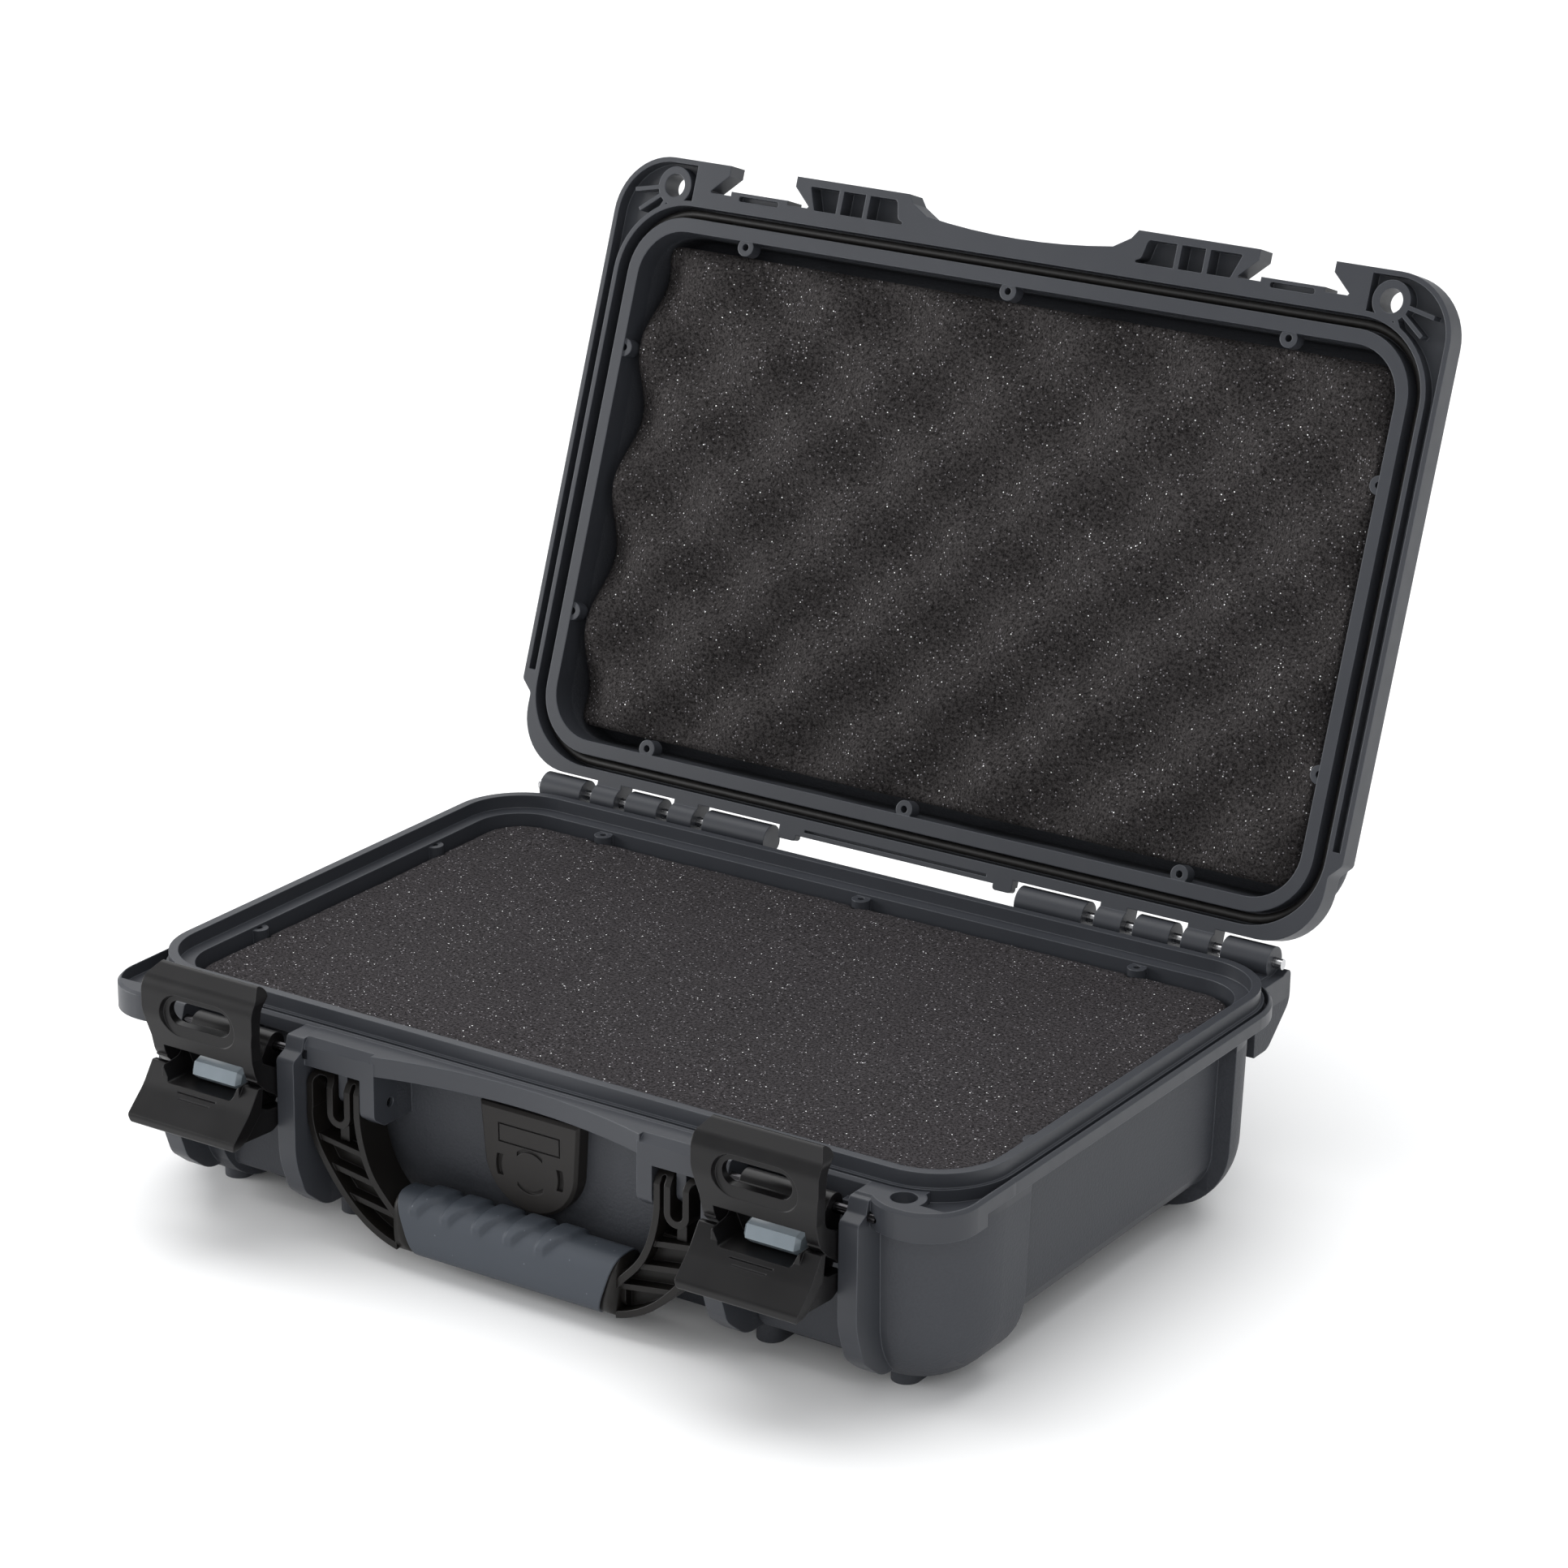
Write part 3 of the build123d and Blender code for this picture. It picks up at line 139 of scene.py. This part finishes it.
# The base is pebbled below the band round its rim and outside its cavity, but for the ribs and
# lugs, which stand forward of the front wall between the outer bulges.
BAND_BOTTOM, CAVITY_FLOOR = 0.0595, 0.0105
CAVITY_X, CAVITY_Y = 0.1456, 0.0896
RIB_Y, RIB_X = -0.0985, 0.131


def base_pebbled(material, place):
    """1 on the base's outer walls, 0 inside, on the rim and on the ribs and lugs of the front."""
    spread = node(material, "VectorMath", {0: place}, operation="ABSOLUTE")["Vector"]
    away = node(material, "SeparateXYZ", {"Vector": spread})
    at = node(material, "SeparateXYZ", {"Vector": place})
    aside = node(material, "Math", {0: away["X"], 1: CAVITY_X}, operation="GREATER_THAN")[0]
    beyond = node(material, "Math", {0: away["Y"], 1: CAVITY_Y}, operation="GREATER_THAN")[0]
    under = node(material, "Math", {0: at["Z"], 1: CAVITY_FLOOR}, operation="LESS_THAN")[0]
    walls = node(material, "Math", {0: aside, 1: beyond}, operation="MAXIMUM")[0]
    outside = node(material, "Math", {0: walls, 1: under}, operation="MAXIMUM")[0]
    forward = node(material, "Math", {0: at["Y"], 1: RIB_Y}, operation="LESS_THAN")[0]
    inward = node(material, "Math", {0: away["X"], 1: RIB_X}, operation="LESS_THAN")[0]
    rib = node(material, "Math", {0: forward, 1: inward}, operation="MULTIPLY")[0]
    no_rib = node(material, "Math", {0: 1.0, 1: rib}, operation="SUBTRACT")[0]
    low = node(material, "Math", {0: at["Z"], 1: BAND_BOTTOM}, operation="LESS_THAN")[0]
    low_wall = node(material, "Math", {0: low, 1: outside}, operation="MULTIPLY")[0]
    return node(material, "Math", {0: low_wall, 1: no_rib}, operation="MULTIPLY")[0]


# The lid stands open: it was drawn shut and turned back about its hinge.
HINGE = Vector((0, 0.10753, 0.0717))
OPENED = math.radians(-109.48)
LID_TURN = Matrix.Translation(HINGE) @ Matrix.Rotation(OPENED, 4, "X") @ Matrix.Translation(-HINGE)
LID_UP = Vector((0, -math.sin(OPENED), math.cos(OPENED)))
FLANGE_TOP = 0.0783


def lid_pebbled(material, place):
    """1 on the lid's outer walls and top, which lie above its flange."""
    along = node(material, "VectorMath", {0: place, 1: LID_UP}, operation="DOT_PRODUCT")["Value"]
    level = HINGE.dot(LID_UP) + FLANGE_TOP - HINGE.z
    return node(material, "Math", {0: along, 1: level}, operation="GREATER_THAN")[0]


wear([nodes["base_shell"]], moulded("moulded_polypropylene_graphite", base_pebbled))
wear([nodes["lid_shell"]], moulded("moulded_polypropylene_graphite_lid", lid_pebbled))


# ------------------------------------------------------------------ latches
# Each latch is a claw that hooks over the lid and a lever that draws it down, both moulded in
# black glass-filled nylon and turning on steel pins.
FLOW_MM, NYLON_GRAIN_MM = 14.29, 0.3846
NYLON_GRAIN_DEPTH, NYLON_EDGE = 0.00004, 0.0004


def black_nylon(name, dark, light, gloss):
    """Black nylon between two tones, at about this roughness: a satin bloom that varies along
    the flow of the melt, a grain just coarse enough to break up highlights, and a painted edge highlight."""
    nylon, place = new_material(name)
    flow = node(nylon, "TexNoise", {"Vector": place, "Scale": 1000 / FLOW_MM, "Detail": 5.0})["Fac"]
    grain = {"Vector": place, "Scale": 1000 / NYLON_GRAIN_MM, "Detail": 1.0}
    fine = node(nylon, "TexNoise", grain)["Fac"]
    rounded, edge = soft_edges(nylon, NYLON_EDGE)
    plain = node(nylon, "Mix", {0: flow, 6: srgb(dark), 7: srgb(light)}, data_type="RGBA")[2]
    edge_highlight = node(nylon, "Math", {0: edge, 1: 0.5}, operation="MULTIPLY")[0]
    satin = {"Value": flow, "To Min": gloss - 0.05, "To Max": gloss + 0.08}
    relief = {"Strength": 0.3, "Height": fine, "Distance": NYLON_GRAIN_DEPTH, "Normal": rounded}
    sockets = {
        # Painted highlight: the colour turns paler along the edges.
        "Base Color": node(nylon, "Mix", {0: edge_highlight, 6: plain, 7: srgb("#39383a")}, data_type="RGBA")[2],
        "Roughness": node(nylon, "MapRange", satin)["Result"],
        "Normal": node(nylon, "Bump", relief)["Normal"],
        "IOR": 1.53,
        "Specular IOR Level": 0.22,
    }
    finish(nylon, sockets)
    return nylon


latch_nylon = black_nylon("moulded_nylon_black", "#0b0a0b", "#121112", 0.34)
wear([nodes[n] for n in nodes if n.startswith(("latch_claw", "latch_lever"))], latch_nylon)


# ------------------------------------------------------------------ handle frame
# The handle's arms and the core of its grip are one moulding, in the same nylon but a slightly
# warmer black. It turns on two steel pins in the base's lugs.
handle_nylon = black_nylon("moulded_nylon_black_handle", "#100e0d", "#181614", 0.36)
wear([nodes["handle_frame"]], handle_nylon)


# ------------------------------------------------------------------ pressure valve
# The valve's cover, body and nut are moulded in charcoal nylon, with a duller skin than the
# latches. It is screwed through the front wall; only the cover is seen while foam fills the case.
valve_nylon = black_nylon("moulded_nylon_charcoal", "#211f1e", "#292726", 0.5)
wear([nodes[n] for n in nodes if n.startswith("valve_")], valve_nylon)


# ------------------------------------------------------------------ handle grip
# A soft thermoplastic elastomer sleeve moulded over the handle's core, with finger ridges on its
# top and back. Its ends are cut on a slant, where black wedges of the frame take over.
GRIP_Y, GRIP_Z = -0.1035, 0.0155
GRIP_HALF, GRIP_SLANT = 0.041, 0.0035
GRIP_T, GRIP_H = 0.0155, 0.021
GRIP_ROUNDNESS = 0.66
RIDGES, RIDGE_PITCH, RIDGE_FIRST = 5, 0.0118, -0.0334
RIDGE_RISE, RIDGE_LEAN, RIDGE_SINK = 0.0012, 0.0045, 0.0002
RIDGE_START, RIDGE_SPAN = 0.93 * math.pi, 0.86 * math.pi
FADE_IN, FADE_OUT, LEAN_BY = 0.12, 0.1, 0.55
LOBE_HALF, LOBE_GROWTH, LOBE_GROWN_BY, LOBE_EDGE = 0.19, 0.2, 0.6, 0.1
COLLAR_SINK, COLLAR_LAP, COLLAR_PROUD = 0.0006, 0.0005, 0.0002


def new_object(name, mesh, material):
    """Object from a finished bmesh, at the origin, smooth and with one material."""
    bmesh.ops.recalc_face_normals(mesh, faces=mesh.faces)
    for face in mesh.faces:
        face.smooth = True
    data = bpy.data.meshes.new(name)
    mesh.to_mesh(data)
    mesh.free()
    obj = bpy.data.objects.new(name, data)
    bpy.context.collection.objects.link(obj)
    data.materials.append(material)
    return obj


def tube(along, around, place):
    """Closed tube: a grid wrapped by place(u, angle), its seam welded and its ends capped."""
    mesh = bmesh.new()
    bmesh.ops.create_grid(mesh, x_segments=along, y_segments=around, size=0.5)
    for vertex in mesh.verts:
        vertex.co = place(vertex.co.x + 0.5, (vertex.co.y + 0.5) * 2 * math.pi)
    bmesh.ops.remove_doubles(mesh, verts=mesh.verts, dist=1e-6)
    bmesh.ops.holes_fill(mesh, edges=[e for e in mesh.edges if e.is_boundary])
    return mesh


def smooth_step(value):
    """0 below 0, 1 above 1, and a soft step between."""
    value = min(max(value, 0.0), 1.0)
    return value * value * (3 - 2 * value)


def grip_section(angle, swell):
    """(depth, height) on the grip's rounded section, grown by swell."""
    c, s = math.cos(angle), math.sin(angle)
    depth = math.copysign(abs(c) ** GRIP_ROUNDNESS, c) * (GRIP_T / 2 + swell)
    height = math.copysign(abs(s) ** GRIP_ROUNDNESS, s) * (GRIP_H / 2 + swell)
    return depth, height


def grip_end(height):
    """Where the slanted end of the grip lies, at a height on its section."""
    return GRIP_HALF - GRIP_SLANT * (1 - 2 * height / GRIP_H)


def ridge(x, angle):
    """Height of the finger ridges: lobes that lean and widen as s goes from the front to the back."""
    s = (RIDGE_START - angle) / RIDGE_SPAN
    fade = smooth_step(s / FADE_IN) * smooth_step((1 - s) / FADE_OUT)
    lean = RIDGE_LEAN * smooth_step(s / LEAN_BY)
    offset = (x - lean - RIDGE_FIRST) / RIDGE_PITCH
    part = abs(offset - round(offset)) if -0.5 < offset < RIDGES - 0.5 else 0.5
    half = LOBE_HALF + LOBE_GROWTH * smooth_step(s / LOBE_GROWN_BY)
    return RIDGE_RISE * fade * smooth_step((half - part) / LOBE_EDGE)


def grip_place(u, angle):
    """Point on the ridged sleeve, for tube."""
    x = (2 * u - 1) * grip_end(grip_section(angle, 0.0)[1])
    depth, height = grip_section(angle, ridge(x, angle) - RIDGE_SINK)
    return (x, GRIP_Y + depth, GRIP_Z + height)


# Soft and matt, with a faint bloom, a leathery skin and a few paler specks of dust.
BLOOM_MM, DUST_MM, SKIN_MM = 18.18, 3.846, 0.3333
elastomer, place = new_material("soft_elastomer_blue_grey")
bloom = node(elastomer, "TexNoise", {"Vector": place, "Scale": 1000 / BLOOM_MM, "Detail": 6.0})["Fac"]
dust = node(elastomer, "TexVoronoi", {"Vector": place, "Scale": 1000 / DUST_MM})["Distance"]
speck = node(elastomer, "Math", {0: dust, 1: 0.07}, operation="LESS_THAN")[0]
faint = node(elastomer, "Math", {0: speck, 1: 0.5}, operation="MULTIPLY")[0]
clean = {0: bloom, 6: srgb("#383d45"), 7: srgb("#40454c")}
dusty = {0: faint, 6: node(elastomer, "Mix", clean, data_type="RGBA")[2], 7: srgb("#6f757c")}
skin = node(elastomer, "TexNoise", {"Vector": place, "Scale": 1000 / SKIN_MM, "Detail": 1.0})["Fac"]
elastomer_sockets = {
    "Base Color": node(elastomer, "Mix", dusty, data_type="RGBA")[2],
    "Roughness": node(elastomer, "MapRange", {"Value": bloom, "To Min": 0.5, "To Max": 0.62})["Result"],
    "Normal": node(elastomer, "Bump", {"Strength": 0.4, "Height": skin, "Distance": 0.00005})["Normal"],
    "Specular IOR Level": 0.35,
}
finish(elastomer, elastomer_sockets)

grip = new_object("grip_sleeve", tube(along=190, around=88, place=grip_place), elastomer)
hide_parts("handle_grip")
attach(grip, "handle")


def collar_place(side):
    """Point on the black wedge at one slanted end of the sleeve, for tube."""

    def place_at(u, angle):
        depth, height = grip_section(angle, -COLLAR_SINK)
        inner, outer = grip_end(height) - COLLAR_LAP, GRIP_HALF + COLLAR_PROUD
        return (side * (inner + u * (outer - inner)), GRIP_Y + depth, GRIP_Z + height)

    return place_at


for side, word in ((-1, "left"), (1, "right")):
    wedge = tube(along=2, around=64, place=collar_place(side))
    collar = new_object(f"grip_collar_{word}", wedge, handle_nylon)
    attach(collar, "handle")


# ------------------------------------------------------------------ slide locks
# A small slide in each lever keeps it from being pulled open. It is moulded in a light blue-grey
# acetal, off a polished mould: glossy and a little cloudy, with a bright highlight painted on its edges.
LOCK_CLOUD_MM, LOCK_EDGE = 9.091, 0.00035
gloss_resin, place = new_material("gloss_resin_light_grey")
cloud = node(gloss_resin, "TexNoise", {"Vector": place, "Scale": 1000 / LOCK_CLOUD_MM, "Detail": 4.0})["Fac"]
rounded, edge = soft_edges(gloss_resin, LOCK_EDGE)
cloudy = node(gloss_resin, "Mix", {0: cloud, 6: srgb("#6d777e"), 7: srgb("#808a91")}, data_type="RGBA")[2]
# Painted highlight: the edges are painted a bright pale grey.
edge_highlighted = node(gloss_resin, "Mix", {0: edge, 6: cloudy, 7: srgb("#b4bcc1")}, data_type="RGBA")[2]
finish(gloss_resin, {"Base Color": edge_highlighted, "Normal": rounded, "Roughness": 0.24})
wear([nodes["latch_slider_left"], nodes["latch_slider_right"]], gloss_resin)


# ------------------------------------------------------------------ pins
# The hinge, latch and handle pins are drawn stainless wire, cut to length and pressed in. Those
# of the hinge are bright; the latch and handle pins, which sit deep in black lugs, are much darker.
DRAW_LENGTH_MM, DRAW_LINE_MM = 33.33, 0.16667


def drawn_steel(name, dark, light):
    """Round wire with fine drawing lines along it, between two tones."""
    steel, place = new_material(name)
    lines = (1000 / DRAW_LENGTH_MM, 1000 / DRAW_LINE_MM, 1000 / DRAW_LINE_MM)
    stretch = node(steel, "Mapping", {"Vector": place, "Scale": lines})["Vector"]
    draw = node(steel, "TexNoise", {"Vector": stretch, "Scale": 1.0, "Detail": 2.0})["Fac"]
    colour = {0: draw, 6: srgb(dark), 7: srgb(light)}
    sockets = {
        "Base Color": node(steel, "Mix", colour, data_type="RGBA")[2],
        "Roughness": node(steel, "MapRange", {"Value": draw, "To Min": 0.18, "To Max": 0.32})["Result"],
        "Metallic": 1.0,
    }
    finish(steel, sockets)
    return steel


pins = [n for n in nodes if "_pin_" in n]
bright = drawn_steel("drawn_stainless_steel", "#a9a9ab", "#d6d6d7")
wear([nodes[n] for n in pins if n.startswith("hinge")], bright)
dull = drawn_steel("dark_drawn_steel", "#39383a", "#4d4c4e")
wear([nodes[n] for n in pins if not n.startswith("hinge")], dull)


# ------------------------------------------------------------------ sealing cord
# A solid round cord of extruded black rubber, glued in the lid's groove, and the valve's small
# ring of the same. Rubber blooms to a patchy, slightly rough black.
RUBBER_BLOOM_MM = 2.5
cord, place = new_material("sealing_cord_black")
bloom = node(cord, "TexNoise", {"Vector": place, "Scale": 1000 / RUBBER_BLOOM_MM, "Detail": 4.0})["Fac"]
cord_sockets = {
    "Base Color": node(cord, "Mix", {0: bloom, 6: srgb("#131211"), 7: srgb("#22201f")}, data_type="RGBA")[2],
    "Roughness": node(cord, "MapRange", {"Value": bloom, "To Min": 0.4, "To Max": 0.6})["Result"],
    "Normal": node(cord, "Bump", {"Strength": 0.5, "Height": bloom, "Distance": 0.0001})["Normal"],
}
finish(cord, cord_sockets)
wear([nodes["lid_gasket"], nodes["valve_seal"]], cord)


# ------------------------------------------------------------------ base foam
# Flexible open-cell polyurethane foam, charcoal, sliced to a flat face by a band knife. It is a
# block on a thinner pad, cut round the screw bosses, with edges slightly ragged and soft.
CELL_MM, PATCH_MM = 0.9524, 28.57
CELL_DEPTH = 0.0005

# Lit cell walls, first the faint and then the bright ones: their spacing in millimetres, their
# size as a share of it, the share of them that stays dark, and their colour.
GLINTS = ((1.0, 0.24, 0.8, "#8f8c90"), (1.4286, 0.16, 0.95, "#ffffff"))


def cut_foam(name, dark, light):
    """Open-cell foam between two tones: the cut cells give a dark grain, drawn at twice their real
    0.5 mm so that it shows, and here and there a cell wall catches the light as a bright speck."""
    foam, place = new_material(name)
    grain = {"Vector": place, "Scale": 1000 / CELL_MM, "Detail": 3.0, "Roughness": 0.85}
    cells = node(foam, "TexNoise", grain)["Fac"]
    patch = node(foam, "TexNoise", {"Vector": place, "Scale": 1000 / PATCH_MM, "Detail": 3.0})["Fac"]
    crisp = node(foam, "MapRange", {"Value": cells, "From Min": 0.38, "From Max": 0.62})["Result"]
    shade = node(foam, "Math", {0: patch, 1: 0.3}, operation="MULTIPLY")[0]
    even = node(foam, "Mix", {0: crisp, 6: srgb(dark), 7: srgb(light)}, data_type="RGBA")[2]
    colour = node(foam, "Mix", {0: shade, 6: even, 7: srgb(dark)}, data_type="RGBA")[2]
    for spacing_mm, size, dark_share, tone in GLINTS:
        wall = node(foam, "TexVoronoi", {"Vector": place, "Scale": 1000 / spacing_mm})
        chance = node(foam, "SeparateXYZ", {0: wall["Color"]})["X"]
        near = node(foam, "Math", {0: wall["Distance"], 1: size}, operation="LESS_THAN")[0]
        rare = node(foam, "Math", {0: chance, 1: dark_share}, operation="GREATER_THAN")[0]
        lit = node(foam, "Math", {0: near, 1: rare}, operation="MULTIPLY")[0]
        colour = node(foam, "Mix", {0: lit, 6: colour, 7: srgb(tone)}, data_type="RGBA")[2]
    relief = {"Strength": 0.7, "Height": cells, "Distance": CELL_DEPTH}
    sockets = {
        "Base Color": colour,
        "Normal": node(foam, "Bump", relief)["Normal"],
        "Roughness": 0.95,
        "Specular IOR Level": 0.1,
    }
    finish(foam, sockets)
    return foam


def foam_block(size, corner, cell, near, far, relief, holes=()):
    """Closed foam block between two levels, on a grid of cells; relief(x, y, edge) lifts its near
    face, and its rim is notched round each hole (x, y, radius)."""
    width, depth = size
    mesh = bmesh.new()
    rows, columns = round(depth / cell), round(width / cell)
    bmesh.ops.create_grid(mesh, x_segments=columns, y_segments=rows, size=0.5)
    for vertex in mesh.verts:
        x, y = vertex.co.x * width, vertex.co.y * depth
        edge = min(width / 2 - abs(x), depth / 2 - abs(y))
        over = Vector((abs(x) - width / 2 + corner, abs(y) - depth / 2 + corner))
        if min(over) > 0:
            over *= max(over) / over.length
            x = math.copysign(width / 2 - corner + over.x, x)
            y = math.copysign(depth / 2 - corner + over.y, y)
        for hole_x, hole_y, radius in holes:
            away = Vector((x - hole_x, y - hole_y))
            if away.length < radius:
                x, y = Vector((hole_x, hole_y)) + away.normalized() * radius
                edge = 0.0
        vertex.co = (x, y, near + relief(x, y, edge))
    made = bmesh.ops.extrude_face_region(mesh, geom=mesh.faces[:], use_keep_orig=True)
    for item in made["geom"]:
        if isinstance(item, bmesh.types.BMVert):
            item.co.z = far
    return mesh


# The knife wanders in slow and in quick waves, both given in waves to the metre and in height.
SLOW_WAVES, SLOW_RISE = 30.0, 0.0003
QUICK_WAVES, QUICK_RISE = 240.0, 0.0002
EDGE_DROP, EDGE_WIDTH, BLOCK_SINK = 0.0011, 0.0012, 0.0002


def base_relief(x, y, edge):
    """Nearly flat cut face, with a soft edge and a slight wander of the knife."""
    slow = noise.noise(Vector((x, y, 0.0)) * SLOW_WAVES) * SLOW_RISE
    quick = noise.noise(Vector((x, y, 0.2)) * QUICK_WAVES) * QUICK_RISE
    return slow + quick - EDGE_DROP * math.exp(-edge / EDGE_WIDTH) - BLOCK_SINK


def flat_relief(x, y, edge):
    """The pad is cut flat; only its sides show, through the notches."""
    return 0.0


NOTCHES = [(x, y, 0.0038) for y in (0.0876, -0.0876) for x in (0.104, 0.0, -0.104)]
NOTCHES += [(x, y, 0.0038) for x in (0.145, -0.145) for y in (0.0464, -0.0464)]
BLOCK = dict(size=(0.2854, 0.1734), corner=0.0145, cell=0.0014, near=0.066, far=0.023)
PAD = dict(size=(0.2774, 0.1654), corner=0.0125, cell=0.004, near=0.0228, far=0.0112)

base_foam = cut_foam("cut_foam_charcoal", "#181617", "#4a4749")
block_mesh = foam_block(**BLOCK, relief=base_relief, holes=NOTCHES)
block = new_object("foam_block_base", block_mesh, base_foam)
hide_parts("base_foam_cubed")
pad = new_object("foam_pad_base", foam_block(**PAD, relief=flat_relief), base_foam)
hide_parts("base_foam_pad")
for piece in (block, pad):
    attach(piece, "base")


# ------------------------------------------------------------------ lid foam
# The same foam, convoluted: pressed between pegged rollers as it is split, so that its face is a
# field of soft peaks and hollows, 10 mm from top to bottom. It is glued flat in the lid.
PEAK_X, PEAK_Y = 0.0038, -0.0485
PITCH_X, PITCH_Y = 0.0488, 0.0491
WAVE_RISE, LID_SINK = 0.0052, 0.0004
PULL_WAVES, PULL_RISE = 45.0, 0.0007
PINCH_DEPTH, PINCH_WIDTH = 0.0016, 0.0025
EGGCRATE = dict(size=(0.2814, 0.1682), corner=0.006, cell=0.0019, near=0.0708, far=0.0955)


def lid_relief(x, y, edge):
    """Depth of the convoluted face below its peaks, with softly pinched edges."""
    across = math.cos(2 * math.pi * (x - PEAK_X) / PITCH_X)
    back = math.cos(2 * math.pi * (y - PEAK_Y) / PITCH_Y)
    pull = noise.noise(Vector((x, y, 0.0)) * PULL_WAVES) * PULL_RISE
    pinch = PINCH_DEPTH * math.exp(-edge / PINCH_WIDTH)
    return WAVE_RISE * (1 - across * back) + pull + LID_SINK + pinch


lid_tone = cut_foam("convoluted_foam_charcoal", "#181616", "#4b4848")
eggcrate_mesh = foam_block(**EGGCRATE, relief=lid_relief)
bmesh.ops.transform(eggcrate_mesh, matrix=LID_TURN, verts=eggcrate_mesh.verts)
eggcrate = new_object("foam_convoluted_lid", eggcrate_mesh, lid_tone)
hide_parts("lid_foam")
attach(eggcrate, "lid")


# ------------------------------------------------------------------ studio
# Seamless white paper, a broad overhead bank of light, a large softbox on the left and a weaker
# one on the right, and a long lens at standing height.
PAPER_HALF = 30
paper = new_material("studio_paper_white")[0]
finish(paper, {"Base Color": srgb("#fbfbfb"), "Roughness": 1.0, "Specular IOR Level": 0.0})
sweep = bmesh.new()
bmesh.ops.create_grid(sweep, x_segments=1, y_segments=1, size=PAPER_HALF)
new_object("studio_floor", sweep, paper)

scene = bpy.context.scene
scene.view_settings.view_transform = "Standard"
scene.view_settings.look = "None"
world = bpy.data.worlds.new("studio_air")
scene.world = world
world.use_nodes = True
air = world.node_tree.nodes["Background"].inputs
air["Color"].default_value = (0.97, 0.985, 1.0, 1)
air["Strength"].default_value = 0.55


def aimed(name, lamp, at, aim):
    """Hangs a lamp at a place, aimed at another."""
    obj = bpy.data.objects.new(name, lamp)
    obj.location = at
    obj.rotation_euler = (Vector(aim) - Vector(at)).to_track_quat("-Z", "Y").to_euler()
    bpy.context.collection.objects.link(obj)


def softbox(name, at, aim, width, height, power):
    """Rectangular area light at a place, aimed at another."""
    lamp = bpy.data.lights.new(name, "AREA")
    lamp.shape = "RECTANGLE"
    lamp.size, lamp.size_y, lamp.energy = width, height, power
    aimed(name, lamp, at, aim)


bank = bpy.data.lights.new("overhead_bank", "SUN")
bank.energy, bank.angle = 2.5, math.radians(75)
aimed("overhead_bank", bank, at=(0, 0, 0), aim=(0.25, -0.32, -1.0))
softbox("softbox_left", (-1.5, -0.75, 0.45), aim=(0, 0, 0.12), width=0.7, height=0.8, power=16)
softbox("softbox_right", (0.9, -1.5, 0.9), aim=(0, 0, 0.1), width=0.9, height=0.9, power=6)

camera_data = bpy.data.cameras.new("camera")
camera = bpy.data.objects.new("camera", camera_data)
bpy.context.collection.objects.link(camera)
scene.camera = camera
camera_data.lens = 109.83
camera_data.sensor_width = 36.0
camera_data.clip_end = 100
azimuth, elevation, roll = math.radians(33.269), math.radians(19.901), math.radians(0.691)
camera.location = (0.78246, -1.15249, 0.63834)
swing = Matrix.Rotation(azimuth, 4, "Z")
tilt = Matrix.Rotation(math.pi / 2 - elevation, 4, "X")
camera.rotation_euler = (swing @ tilt @ Matrix.Rotation(roll, 4, "Z")).to_euler()
